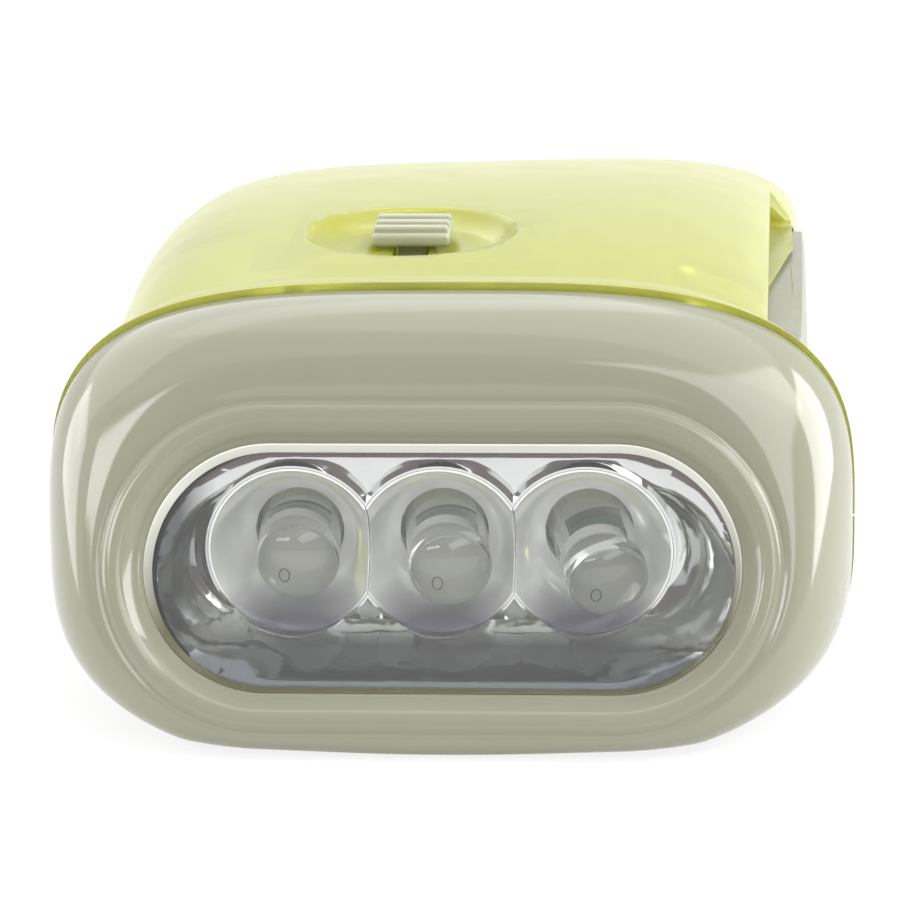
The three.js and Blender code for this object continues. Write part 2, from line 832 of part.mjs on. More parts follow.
function bezel() {
  const seatLow = floorThickness + seatGap;
  const inside = shellWall + seatGap;
  const tongueY = seamY + tongueShare * (rearY - seamY);
  const pocket = lensRim + seatGap;
  const rings = [
    faceRing(windowHalfLength - lipDraft, windowHalfHeight - lipDraft, -windowLip),
    faceRing(windowHalfLength, windowHalfHeight, 0),
    faceRing(windowHalfLength + funnelWidth, windowHalfHeight + funnelWidth, crestRise),
  ];
  shoulderShares.forEach((share) => rings.push(bezelRing(share, 0)));
  rings.push(
    housingRing(0, seamY - partingGap, inside, seatLow),
    housingRing(tongueShare, tongueY, inside, seatLow),
    housingRing(tongueShare, tongueY, inside + bezelWall, seatLow + bezelFloor),
    housingRing(0, seamY - partingGap, inside + bezelWall, seatLow + bezelFloor),
    bezelRing(insideShare, bezelWall, bezelWall, bezelFloor),
    faceRing(windowHalfLength + pocket, windowHalfHeight + pocket, -pocketDepth),
    faceRing(windowHalfLength + pocket, windowHalfHeight + pocket, -windowLip),
  );
  return solid(loft(rings, true));
}

add('bezel', bezel(), greyPlastic());

// Lens, a flat clear plate behind the window lip
const lensFront = windowLip + seatGap;
const lensBack = lensFront + lensThickness;
const lensHalfLength = windowHalfLength + lensRim;
const lensHalfHeight = windowHalfHeight + lensRim;
add('lens', loft([
  faceRing(lensHalfLength, lensHalfHeight, -lensBack),
  faceRing(lensHalfLength, lensHalfHeight, -lensFront),
]), clearPlastic());

// Reflector, a bright bowl with a round cup about each diode
function cup(x) {
  const profile = [[0, reflectorBackY + overrun], [ledRadius + ledHoleGap, reflectorBackY + overrun]];
  for (const share of cupShares) {
    const reach = ledRadius + ledHoleGap + (cupRadius - ledRadius - ledHoleGap) * Math.sqrt(share);
    profile.push([reach, reflectorBackY - reflectorWall - cupDepth * share]);
  }
  const front = reflectorBackY - reflectorWall - 2 * cupDepth;
  profile.push([cupRadius, front], [0, front]);
  const points = profile.reverse().map(([r, y]) => new THREE.Vector2(r, y));
  const geometry = new THREE.LatheGeometry(points, 28);
  geometry.translate(x, 0, reflectorHeight);
  return solid(geometry);
}

function reflector() {
  const rimFront = lensBack + seatGap;
  const floorY = reflectorBackY - reflectorWall - cupDepth * bowlFloorShare;
  const backLength = lensHalfLength - bowlTaper - reflectorWall;
  let body = solid(loft([
    standingRing(backLength, bowlBackHalfHeight, reflectorBackY, reflectorHeight),
    faceRing(lensHalfLength - mouthInset, lensHalfHeight - mouthInset, -rimFront - reflectorRimThickness),
    faceRing(lensHalfLength, lensHalfHeight, -rimFront - reflectorRimThickness),
    faceRing(lensHalfLength, lensHalfHeight, -rimFront),
  ]));
  const floor = standingRing(backLength - reflectorWall, bowlFloorHalfHeight, floorY, reflectorHeight);
  const mouth = faceRing(windowHalfLength - mouthInset, windowHalfHeight - mouthInset, -rimFront);
  const bend = floor.map((start, i) => new THREE.Vector3(
    start.x + (mouth[i].x - start.x) * bowlSpreadShare,
    start.y + (mouth[i].y - start.y) * bowlBendShare,
    start.z + (mouth[i].z - start.z) * bowlSpreadShare,
  ));
  body = body.subtract(solid(loft([
    floor,
    bend,
    mouth,
    faceRing(windowHalfLength - mouthInset, windowHalfHeight - mouthInset, overrun - rimFront),
  ])));
  for (const x of ledXs) {
    body = body.subtract(cup(x));
  }
  return body;
}

add('reflector', reflector(), mirrorPlastic());

// Diodes, each a domed clear body with a flange and two leads through the board
function diode(x, nod, turn, slip) {
  const backY = ledBackY + slip;
  const tipY = backY - ledLength;
  const points = [new THREE.Vector2(0, tipY)];
  for (let i = 1; i <= domeSteps; i++) {
    const bow = Math.PI / 2 * i / domeSteps;
    points.push(new THREE.Vector2(ledRadius * Math.sin(bow), tipY + ledRadius * (1 - Math.cos(bow))));
  }
  points.push(
    new THREE.Vector2(ledRadius, backY - ledFlangeThickness),
    new THREE.Vector2(ledFlangeRadius, backY - ledFlangeThickness),
    new THREE.Vector2(ledFlangeRadius, backY),
    new THREE.Vector2(0, backY),
  );
  const geometry = new THREE.LatheGeometry(points, 20);
  geometry.translate(0, -reflectorBackY, 0);
  geometry.rotateX(nod * degree);
  geometry.rotateZ(turn * degree);
  geometry.translate(x, reflectorBackY, reflectorHeight);
  let body = solid(geometry);
  for (const side of [-1, 1]) {
    body = body.add(lead(x + side * ledLeadPitch / 2, ledLeadWidth, backY - ledFlangeThickness / 2, ledBackY + ledLeadLength));
  }
  return body;
}

function lead(x, width, fromY, toY) {
  return block(
    spot(x - width / 2, fromY, reflectorHeight - width / 2),
    spot(x + width / 2, toY, reflectorHeight + width / 2),
  );
}

ledXs.forEach((x, i) => add(`led_${i + 1}`, diode(x, ledNods[i], ledTurns[i], ledSlips[i]), clearEpoxy()));

// Diode board, standing in two grooved posts
function ledBoard() {
  let board = block(
    spot(-ledBoardHalfLength, ledBoardFront, ledBoardLow),
    spot(ledBoardHalfLength, ledBoardBack, ledBoardLow + ledBoardHeight),
  );
  for (const x of ledXs) {
    for (const side of [-1, 1]) {
      const hole = lead(x + side * ledLeadPitch / 2, ledLeadWidth + seatGap, ledBoardFront - overrun, ledBoardBack + overrun);
      board = board.subtract(hole);
    }
  }
  return board;
}

add('led_board', ledBoard(), boardGreen());

// Squeeze lever, a hollow bar on a round hub, with a key for the sector and a catch tab behind
function leverStack(low, high, radius = leverHubRadius) {
  return upright(radius, low, high, pivotX, pivotY, 40).intersect(leverForm);
}

const leverForm = housingForm(-leverProud, 0);

function squeezeLever() {
  const bar = behindPivot(leverSide(0, leverInnerX)).intersect(leverForm);
  const whole = bar.add(leverStack(leverLow, leverHubTop));
  const hollow = behindPivot(leverSide(-leverFlange, leverInnerX - overrun))
    .intersect(housingForm(leverWall - leverProud, 0));
  const hubHollow = upright(hubHollowRadius, lowHubHigh, highHubLow, pivotX, pivotY)
    .add(block(
      spot(pivotX - 2 * leverHubRadius, pivotY - hubHollowRadius, lowHubHigh),
      spot(pivotX, pivotY + 2 * leverHubRadius, highHubLow),
    ));
  let lever = whole.subtract(hollow).subtract(hubHollow)
    .add(leverStack(leverLow, lowHubHigh))
    .add(leverStack(highHubLow, leverHubTop));
  for (const share of leverRibShares) {
    const y = pivotY + share * leverReach;
    const rib = block(
      spot(leverInnerX, y - ribThickness / 2, leverLow),
      spot(bodyLength, y + ribThickness / 2, leverHubTop),
    );
    lever = lever.add(whole.intersect(rib));
  }
  lever = lever.add(block(
    spot(pivotX + keyInner, pivotY - keyWidth / 2, lowHubHigh - overrun / 2),
    spot(pivotX + hubHollowRadius + overrun / 2, pivotY + keyWidth / 2, sectorHigh),
  ));
  lever = lever.add(block(
    spot(leverInnerX, leverRearY - leverFlange / 2, catchLow),
    spot(leverInnerX + catchThickness, leverRearY + catchLength, catchHigh),
  ));
  return lever.subtract(pinHole(pivotPinRadius, 0, bodyHeight, pivotX, pivotY));
}

add('squeeze_lever', squeezeLever(), greyPlastic());

// Toothed outlines with involute flanks
function toothPoints(teeth, module, middle) {
  const pitchRadius = teeth * module / 2;
  const baseRadius = pitchRadius * Math.cos(pressureAngle * degree);
  const root = pitchRadius - dedendumShare * module;
  const tip = pitchRadius + addendumShare * module;
  const involute = (angle) => Math.tan(angle) - angle;
  const halfPitchAngle = Math.PI / 2 / teeth * (1 - backlashShare);
  const atRadius = (r) => {
    const angle = Math.acos(Math.min(1, baseRadius / r));
    return halfPitchAngle + involute(pressureAngle * degree) - involute(angle);
  };
  const flank = [];
  for (let i = 0; i <= flankSteps; i++) {
    const r = root + (tip - root) * i / flankSteps;
    flank.push([r, atRadius(r)]);
  }
  const right = flank.map(([r, half]) => polar(r, middle - half));
  const left = flank.map(([r, half]) => polar(r, middle + half)).reverse();
  return right.concat(left);
}

function polar(r, angle) {
  return new THREE.Vector2(r * Math.cos(angle), r * Math.sin(angle));
}

function wholeGear(teeth, module, phase, low, high, x, y) {
  const points = [];
  for (let i = 0; i < teeth; i++) {
    points.push(...toothPoints(teeth, module, phase + fullTurn * i / teeth));
  }
  const geometry = prism(points, low, high);
  geometry.translate(x, y, 0);
  return solid(geometry);
}

// Sector, a toothed rim on two arms, keyed to the lever hub
function sectorGear() {
  const start = Math.PI / 2 + firstMeshAngle * degree;
  const step = fullTurn / sectorWholeTeeth;
  const first = start + (firstSectorTooth - 1 / 2) * step;
  const last = first + sectorCutTeeth * step;
  const innerRadius = sectorRadius - sectorRimWidth;
  const points = [];
  for (let i = 0; i < sectorCutTeeth; i++) {
    points.push(...toothPoints(sectorWholeTeeth, sectorModule, first + (i + 1 / 2) * step));
  }
  for (let i = 0; i <= sectorCutTeeth; i++) {
    points.push(polar(innerRadius, last + (first - last) * i / sectorCutTeeth));
  }
  const rim = prism(points, sectorLow, sectorHigh);
  rim.translate(pivotX, pivotY, 0);
  let sector = solid(rim);
  for (const angle of [first + armInset * degree, last - armInset * degree]) {
    const arm = new THREE.BoxGeometry(innerRadius + sectorRimWidth / 2, sectorArmWidth, sectorThickness);
    arm.translate((innerRadius + sectorRimWidth / 2) / 2, 0, (sectorLow + sectorHigh) / 2);
    arm.rotateZ(angle);
    arm.translate(pivotX, pivotY, 0);
    sector = sector.add(solid(arm));
  }
  sector = sector.add(upright(sectorHubRadius, sectorLow, sectorHigh, pivotX, pivotY));
  sector = sector.subtract(block(
    spot(pivotX + keyInner - seatGap, pivotY - keyWidth / 2 - seatGap, 0),
    spot(pivotX + leverHubRadius, pivotY + keyWidth / 2 + seatGap, bodyHeight),
  ));
  return sector.subtract(pinHole(pivotPinRadius, 0, bodyHeight, pivotX, pivotY));
}

add('sector_gear', sectorGear(), whitePlastic());

// Step gear, a wheel with round windows moulded in one with its small pinion
function stepGear() {
  const pinionPhase = (firstMeshAngle * degree - Math.PI / 2) + Math.PI / stepPinionTeeth;
  let gear = wholeGear(stepGearTeeth, stepModule, secondMeshAngle * degree, stepGearLow, stepGearHigh, stepGearX, stepGearY);
  gear = gear.add(wholeGear(
    stepPinionTeeth, sectorModule, pinionPhase, stepGearHigh - levelGap / 2, sectorHigh, stepGearX, stepGearY,
  ));
  for (let i = 0; i < gearWindowCount; i++) {
    const turn = fullTurn * i / gearWindowCount;
    const x = stepGearX + gearWindowReachShare * stepGearRadius * Math.cos(turn);
    const y = stepGearY + gearWindowReachShare * stepGearRadius * Math.sin(turn);
    gear = gear.subtract(upright(gearWindowRadiusShare * stepGearRadius, 0, stepGearHigh + overrun / 2, x, y, gearWindowSides));
  }
  return gear.subtract(pinHole(pinRadius, 0, bodyHeight, stepGearX, stepGearY));
}

add('step_gear', stepGear(), whitePlastic());

// Dynamo, a magnet on the small pinion, turning in a ring of claws round the coil
const magnetLow = statorLow + seatGap;
const magnetHigh = magnetLow + magnetHeight;

function rotorPinion() {
  const phase = secondMeshAngle * degree + Math.PI + Math.PI / rotorPinionTeeth;
  let gear = wholeGear(rotorPinionTeeth, stepModule, phase, stepGearLow, stepGearHigh + seatGap, rotorX, rotorY);
  gear = gear.add(upright(rotorPinionRadius - stepModule, stepGearHigh, magnetLow - runningGap, rotorX, rotorY, 20));
  return gear.subtract(pinHole(pinRadius, 0, bodyHeight, rotorX, rotorY));
}

add('rotor_pinion', rotorPinion(), whitePlastic());
add('magnet_rotor', upright(magnetRadius, magnetLow, magnetHigh, rotorX, rotorY, 32)
  .subtract(pinHole(pinRadius, 0, bodyHeight, rotorX, rotorY)), ferrite());

function clawRing(low, high, turn) {
  let claws = upright(magnetRadius + airGap + clawThickness, low, high, rotorX, rotorY, 32)
    .subtract(upright(magnetRadius + airGap, low - overrun, high + overrun, rotorX, rotorY, 32));
  let keep = null;
  for (let i = 0; i < clawCount; i++) {
    const wedge = new THREE.BoxGeometry(statorRadius, clawWidth, 2 * bodyHeight);
    wedge.translate(statorRadius / 2, 0, 0);
    wedge.rotateZ(turn + fullTurn * i / clawCount);
    wedge.translate(rotorX, rotorY, 0);
    keep = keep ? keep.add(solid(wedge)) : solid(wedge);
  }
  claws = claws.intersect(keep);
  return claws;
}

function washer(outer, inner, low, high) {
  return upright(outer, low, high, rotorX, rotorY, 40)
    .subtract(upright(inner, low - overrun, high + overrun, rotorX, rotorY, 32));
}

const statorTopLow = statorHigh - statorPlate;
const clawInner = magnetRadius + airGap;
const bobbinInner = clawInner + clawThickness + airGap;
const bobbinOuter = statorRadius - clawThickness - airGap;
const bobbinLow = statorLow + statorPlate + seatGap;
const bobbinHigh = statorTopLow - seatGap;

add('stator_lower', washer(statorRadius, clawInner, statorLow, statorLow + statorPlate)
  .add(washer(statorRadius, statorRadius - clawThickness, statorLow, statorTopLow - seatGap))
  .add(clawRing(statorLow, statorTopLow - airGap, 0)), steel());
add('stator_upper', washer(statorRadius, pinRadius + runningGap, statorTopLow, statorHigh)
  .add(clawRing(statorLow + statorPlate + airGap, statorHigh, Math.PI / clawCount)), steel());
add('coil_bobbin', turned([
  [bobbinInner, bobbinLow],
  [bobbinOuter, bobbinLow],
  [bobbinOuter, bobbinLow + bobbinWall],
  [bobbinInner + bobbinWall, bobbinLow + bobbinWall],
  [bobbinInner + bobbinWall, bobbinHigh - bobbinWall],
  [bobbinOuter, bobbinHigh - bobbinWall],
  [bobbinOuter, bobbinHigh],
  [bobbinInner, bobbinHigh],
  [bobbinInner, bobbinLow],
], rotorX, rotorY), blackPlastic());
add('coil_winding', turned([
  [bobbinInner + bobbinWall + runningGap, bobbinLow + bobbinWall + runningGap],
  [bobbinOuter - bobbinWall, bobbinLow + bobbinWall + runningGap],
  [bobbinOuter - bobbinWall / 2, (bobbinLow + bobbinHigh) / 2],
  [bobbinOuter - bobbinWall, bobbinHigh - bobbinWall - runningGap],
  [bobbinInner + bobbinWall + runningGap, bobbinHigh - bobbinWall - runningGap],
  [bobbinInner + bobbinWall + runningGap, bobbinLow + bobbinWall + runningGap],
], rotorX, rotorY), copper());

// Pins
add('pivot_pin', upright(pivotPinRadius, pinHoleFloor + runningGap, pivotPinTop - runningGap, pivotX, pivotY), steel());
add('step_gear_pin', upright(pinRadius, pinHoleFloor + runningGap, plateHigh, stepGearX, stepGearY), steel());
add('rotor_shaft', upright(pinRadius, pinHoleFloor + runningGap, statorHigh + seatGap, rotorX, rotorY), steel());

// Gear plate, three arms on the pillars that hold the top of the step gear pin
function gearPlate() {
  let plate = upright(plateHubRadius, plateLow + partingGap, plateHigh, stepGearX, stepGearY);
  pillarSpots.forEach(([x, y], i) => {
    const arm = new THREE.BoxGeometry(pillarReach, plateArmWidth, plateThickness - partingGap);
    arm.translate(pillarReach / 2, 0, (plateLow + partingGap + plateHigh) / 2);
    arm.rotateZ(pillarAngles[i] * degree);
    arm.translate(stepGearX, stepGearY, 0);
    plate = plate.add(solid(arm)).add(upright(platePadRadius, plateLow + partingGap, plateHigh, x, y));
  });
  for (const [x, y] of pillarSpots) {
    plate = plate.subtract(upright(plateScrewRadius + screwHoleGap, 0, bodyHeight, x, y));
  }
  return plate.subtract(pinHole(pinRadius, 0, bodyHeight, stepGearX, stepGearY));
}

add('gear_plate', gearPlate(), steel());

// Screws, pan heads with a cross recess
function screw(shankRadius, headRadius, headHeight, length) {
  const geometry = turned([
    [0, 0],
    [shankRadius, 0],
    [shankRadius, length],
    [headRadius, length],
    [headRadius, length + headHeight / 2],
    [headRadius * screwCrownShare, length + headHeight],
    [0, length + headHeight],
  ], 0, 0, 12);
  let body = solid(geometry);
  const depth = headHeight * recessDepthShare;
  const half = headRadius * recessReachShare;
  const thin = headRadius * recessWidthShare;
  for (const [x, y] of [[half, thin], [thin, half]]) {
    body = body.subtract(block(spot(-x, -y, length + headHeight - depth), spot(x, y, length + headHeight + overrun)));
  }
  return body;
}

function caseScrewTop(x) {
  return x < -screwRearX ? frontScrewTop : rearScrewTop;
}

caseScrewSpots.forEach(([x, y], i) => {
  const head = screwHeadHeight + screwSink - seatGap;
  const length = caseScrewTop(x) - head;
  const geometry = surface(screw(screwShankRadius, screwHeadRadius, screwHeadHeight - seatGap, length));
  geometry.rotateX(Math.PI);
  geometry.translate(x, y, caseScrewTop(x));
  add(`case_screw_${i + 1}`, geometry, steel());
});

pillarSpots.forEach(([x, y], i) => {
  const geometry = surface(screw(plateScrewRadius, plateScrewHead, plateScrewHeadHeight, plateScrewLength + plateThickness));
  geometry.translate(x, y, plateLow - plateScrewLength + partingGap);
  add(`plate_screw_${i + 1}`, geometry, steel());
});

// Slide switch
function switchKnob() {
  let knob = block(
    spot(switchX - knobWidth / 2, switchY - knobLength / 2, dishFloor + seatGap),
    spot(switchX + knobWidth / 2, switchY + knobLength / 2, dishFloor + seatGap + knobHeight),
  );
  for (let i = 0; i < knobRibCount; i++) {
    const pitch = knobLength / knobRibCount;
    const y = switchY - knobLength / 2 + pitch * (i + 1 / 2);
    knob = knob.add(block(
      spot(switchX - knobWidth / 2, y - pitch / 4, dishFloor + seatGap),
      spot(switchX + knobWidth / 2, y + pitch / 4, dishFloor + seatGap + knobHeight + knobRibHeight),
    ));
  }
  return knob.add(block(
    spot(switchX - knobStemWidth / 2, switchY - knobStemWidth / 2, switchSlotFloor + seatGap),
    spot(switchX + knobStemWidth / 2, switchY + knobStemWidth / 2, dishFloor + 2 * seatGap),
  ));
}

const switchBodyLow = boardTop + partingGap;
const switchBodyTop = switchBodyLow + switchBodyHeight;
const switchSlotFloor = switchBodyTop - switchSlotDepth;
add('switch_knob', switchKnob(), greyPlastic());
add('switch_body', block(
  spot(switchX - switchBodyWidth / 2, dishY - switchBodyLength / 2, switchBodyLow),
  spot(switchX + switchBodyWidth / 2, dishY + switchBodyLength / 2, switchBodyTop),
).subtract(block(
  spot(switchX - knobStemWidth / 2 - seatGap, switchY - knobStemWidth / 2 - knobTravel - seatGap, switchSlotFloor),
  spot(switchX + knobStemWidth / 2 + seatGap, switchY + knobStemWidth / 2 + seatGap, switchBodyTop + overrun),
)), steel());

// Control board under the roof, with its rectifier diodes and capacitor
function controlBoard() {
  let board = block(spot(boardLeft, boardFront, boardLow), spot(boardRight, boardBack, boardTop));
  for (const [x, y] of boardPostSpots()) {
    board = board.subtract(upright(boardPegRadius + seatGap / 2, 0, bodyHeight, x, y));
  }
  return board;
}

add('control_board', controlBoard(), boardGreen());
for (let i = 0; i < rectifierCount; i++) {
  const y = boardFront + rectifierInset + i * rectifierPitch;
  const z = boardLow - seatGap - rectifierRadius;
  const x = boardRight - rectifierLength * 2 / 3;
  add(`rectifier_${i + 1}`, lyingCylinder(rectifierRadius, rectifierLength, x, y, z), blackPlastic());
}
add('capacitor', upright(capacitorRadius, boardLow - seatGap - capacitorHeight, boardLow - seatGap,
  boardRight - capacitorInsetX, boardBack - capacitorInsetY), blackPlastic());

// Rechargeable cell across the front, with a tab at each end
add('cell_pack', lyingCylinder(cellRadius, cellLength, cellX, cellY, cellHeight), cellSleeve());
[-1, 1].forEach((side) => {
  const face = cellX + side * (cellLength / 2 + partingGap);
  const outer = face + side * tabThickness;
  add(side < 0 ? 'cell_tab_left' : 'cell_tab_right', block(
    spot(Math.min(face, outer), cellY - tabHalfWidth, cellHeight - tabHalfWidth),
    spot(Math.max(face, outer), cellY + tabHalfWidth, cellHeight + cellRadius),
  ), steel());
});

// Return spring, three turns round the pivot pin with a leg on the lever and a leg on the housing
class SpringPath extends THREE.Curve {
  getPoint(t, target = new THREE.Vector3()) {
    const turn = springStart + t * springTurns * fullTurn;
    const z = springLow + springWire / 2 + t * springRise;
    return target.set(
      pivotX + springRadius * Math.cos(turn),
      pivotY + springRadius * Math.sin(turn),
      z,
    );
  }
}

function round(radius, sides) {
  const shape = new THREE.Shape();
  for (let i = 0; i < sides; i++) {
    const point = polar(radius, fullTurn * i / sides);
    if (i === 0) {
      shape.moveTo(point.x, point.y);
    } else {
      shape.lineTo(point.x, point.y);
    }
  }
  return shape;
}

function tube(path, radius, sides, steps) {
  const geometry = new THREE.ExtrudeGeometry(round(radius, sides), { steps, extrudePath: path, bevelEnabled: false });
  return geometry;
}

add('return_spring', outward(tube(new SpringPath(), springWire / 2, 6, 40)), steel());

// Leads between the boards, the cell and the coil
function wire(name, points, material) {
  const path = new THREE.CatmullRomCurve3(points.map(([x, y, z]) => spot(x, y, z)));
  add(name, outward(tube(path, wireRadius, 6, 16)), material);
}

const ledWireZ = ledBoardLow + ledBoardHeight - wireInset;
const wireStart = ledBoardBack + wireRadius + seatGap;
wire('led_wire_red', [
  [-wireInset - wireBow, wireStart, ledWireZ],
  [-wireInset - wireBow, wireStart + wireBow, ledWireZ + wireBow / 2],
  [-wireInset - wireBow, boardFront + 2 * wireBow, boardLow - wireRadius - seatGap],
], redSleeve());
wire('led_wire_black', [
  [-wireInset, wireStart, ledWireZ],
  [-wireInset, wireStart + wireBow, ledWireZ + wireBow / 2],
  [-wireInset, boardFront + 2 * wireBow, boardLow - wireRadius - seatGap],
], blackSleeve());
wire('cell_wire_red', [
  [cellX + cellLength / 2 + 2 * wireRadius + tabThickness + seatGap, cellY, cellHeight + cellRadius - wireRadius],
  [cellX + cellLength / 2 + 2 * wireRadius, cellY + wireBow, boardLow - 2 * wireRadius - seatGap],
  [cellX + cellLength / 2, cellY + 2 * wireBow, boardLow - wireRadius - seatGap],
], redSleeve());
wire('coil_wire', [
  [rotorX - statorRadius / 2, rotorY - statorRadius / 2, statorHigh + wireRadius + seatGap],
  [stepGearX - wireBow, stepGearY - wireBow, statorHigh + wireBow],
  [stepGearX - 2 * wireBow, boardBack + wireBow, boardLow - wireBow],
  [stepGearX - 2 * wireBow, boardBack - wireBow, boardLow - wireRadius - seatGap],
], copper());

function outward(geometry) {
  const merged = closed(geometry);
  const index = Array.from(merged.index.array);
  if (enclosedVolume(Array.from(merged.attributes.position.array), index) < 0) {
    merged.setIndex(index.reverse());
  }
  return merged;
}

// Lock slider in the underside, whose finger slides outside the catch tab
function lockSlider() {
  let slider = block(
    spot(lockX - lockPadWidth / 2, lockY - lockPadLength / 2, lockWellHigh - lockPadDepth - partingGap),
    spot(lockX + lockPadWidth / 2, lockY + lockPadLength / 2, lockWellHigh - partingGap),
  );
  for (let i = 0; i < lockGrooveCount; i++) {
    const pitch = lockPadLength / lockGrooveCount;
    const y = lockY - lockPadLength / 2 + pitch * (i + 1 / 2);
    slider = slider.subtract(block(
      spot(lockX - lockPadWidth / 2 + shellWall / 2, y - pitch / 4, -overrun),
      spot(lockX + lockPadWidth / 2 - shellWall / 2, y + pitch / 4, lockWellHigh - lockPadDepth / 2 - partingGap),
    ));
  }
  slider = slider.add(block(
    spot(lockStemX - lockStemWidth / 2, lockY - lockStemLength / 2, lockWellHigh - 2 * partingGap),
    spot(lockStemX + lockStemWidth / 2, lockY + lockStemLength / 2, lockBarLow + lockBarHeight),
  ));
  slider = slider.add(block(
    spot(lockStemX, lockY - lockStemLength / 2, lockBarLow),
    spot(lockFingerX + lockFingerWidth, lockY + lockStemLength / 2, lockBarLow + lockBarHeight),
  ));
  return slider.add(block(
    spot(lockFingerX, lockY - lockStemLength / 2, lockBarLow),
    spot(lockFingerX + lockFingerWidth, lockY + lockStemLength / 2, catchHigh),
  ));
}

add('lock_slider', lockSlider(), greyPlastic());

export default torch;
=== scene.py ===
"""Looks of a hand squeezed torch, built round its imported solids.

Lengths named here are in millimetres unless a comment says otherwise, and every
mesh is made in metres in the frame of the solids: +Z up, the light along -Y and
the squeeze lever on the +X side.
"""

import math

import bmesh
import bpy
from bpy.props import FloatProperty, FloatVectorProperty, IntProperty, PointerProperty
from mathutils import Matrix, Quaternion, Vector


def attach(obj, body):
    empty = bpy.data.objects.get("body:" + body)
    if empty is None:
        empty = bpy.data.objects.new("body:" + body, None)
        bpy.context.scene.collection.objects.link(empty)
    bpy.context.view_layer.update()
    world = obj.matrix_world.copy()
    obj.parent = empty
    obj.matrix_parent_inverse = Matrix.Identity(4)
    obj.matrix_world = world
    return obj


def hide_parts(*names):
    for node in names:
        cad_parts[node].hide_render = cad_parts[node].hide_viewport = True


bl_info = {
    "name": "Hand squeezed torch",
    "version": (1, 0, 0),
    "blender": (4, 5, 0),
    "location": "3D View > Sidebar > Torch",
    "description": "Builds the moulded, clear and metal pieces of a hand squeezed torch",
    "category": "Object",
}

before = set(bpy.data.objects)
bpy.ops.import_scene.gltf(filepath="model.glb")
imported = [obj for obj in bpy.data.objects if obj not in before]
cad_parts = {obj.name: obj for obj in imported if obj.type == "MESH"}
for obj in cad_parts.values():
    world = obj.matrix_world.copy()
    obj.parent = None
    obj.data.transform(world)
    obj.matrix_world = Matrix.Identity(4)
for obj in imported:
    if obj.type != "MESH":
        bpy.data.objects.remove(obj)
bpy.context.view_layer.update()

MM = 0.001
TURN = 2 * math.pi

# Whole torch
FRONT_Y = -48
REAR_Y = 48
SEAM_Y = -33.9
LEFT_HALF = 23.3
LEFT_FRONT_HALF = 22.1
RIGHT_HALF = 21.3
FLANGE_HALF = 24.5
BEZEL_HALF = 24.4
BODY_HEIGHT = 25.1
BEZEL_HEIGHT = 24.9
TOP_FALL = 13.4
WIDEST_HEIGHT = 10.7
REAR_WIDEST_HEIGHT = 6.6
REAR_SKEW_SHARE = 0.18
REAR_SKEW_MIDDLE = 6
SEAT_GAP = 0.25
PARTING_GAP = 0.15
SHELL_WALL = 1.6
FLOOR_THICKNESS = 1.8
OVERRUN = 1
FAR = 96
BOSS_INSET = 0.3
FITTING_LAP = 0.1
WELD = 0.0001
NEEDLE = 0.001

# Facets round the turned forms
BOSS_FACETS = 32
PIN_FACETS = 32
HUB_FACETS = 72
ROUND_FACETS = 48
WELL_FACETS = 40
SCREW_HOLE_FACETS = 24
DISH_FACETS = 96

# How the sections of the housing change from the seam to the rear end
SEAM_TOP_POWER = 3.3
REST_TOP_POWER = 4
SEAM_LOWER_POWER = 3.6
REST_LOWER_POWER = 4
FLARE_SHARE = 0.03
WAIST_SHARE = 0.45
FALL_START_SHARE = 0.04
LEFT_ROUND_SHARE = 0.76
RIGHT_ROUND_SHARE = 0.84
TOP_ROUND_SHARE = 0.8
END_SHARE = 0.985
ROUND_POWER = 2.5
FLAT_SHARE = 1.08
CROWDING = 1.4

# Lit face
FACE_RAKE = math.radians(25)
WINDOW_HEIGHT = 10.3
WINDOW_HALF_LENGTH = 17.9
WINDOW_HALF_HEIGHT = 7.55
WINDOW_LIP = 1.3
FUNNEL_START = 0.15
FUNNEL_WIDTH = 1.1
FUNNEL_POWER = 0.8
FUNNEL_STEPS = 8
CREST_RISE = 1.1
CREST_WIDTH = 1.5
CREST_FALL = 0.15
CREST_CROWN = 0.12
CREST_STEPS = 16
CREST_CLOSE = 0.999
GROOVE_DEPTH = 0.2
GROOVE_SHARE = 0.78
GROOVE_SPREAD = 0.15
LIP_SHARPNESS = 5.5
LIP_SPREAD = 2.2
LIP_DRAFT = 0.4
LIP_SHARES = (0, 0.3, 0.6, 0.9)
SHOULDER_STEPS = 26
TRIM_GAP = 0.03
TRIM_WALL = 0.08
TRIM_TOP_SHARE = 0.8
LENS_THICKNESS = 1
LENS_RIM = 0.7
LENS_EDGE = 0.12
POCKET_DEPTH = 4.1
BEZEL_WALL = 1.5
BEZEL_FLOOR = 1
TONGUE_SHARE = 0.012
INSIDE_SHARE = 0.45
WINDOW_Y = (
    FRONT_Y
    + (WINDOW_HALF_HEIGHT + FUNNEL_WIDTH + CREST_WIDTH) * math.sin(FACE_RAKE)
    + (CREST_RISE - CREST_FALL) * math.cos(FACE_RAKE)
)
LENS_FRONT = WINDOW_LIP + SEAT_GAP
LENS_BACK = LENS_FRONT + LENS_THICKNESS
LENS_HALF_LENGTH = WINDOW_HALF_LENGTH + LENS_RIM

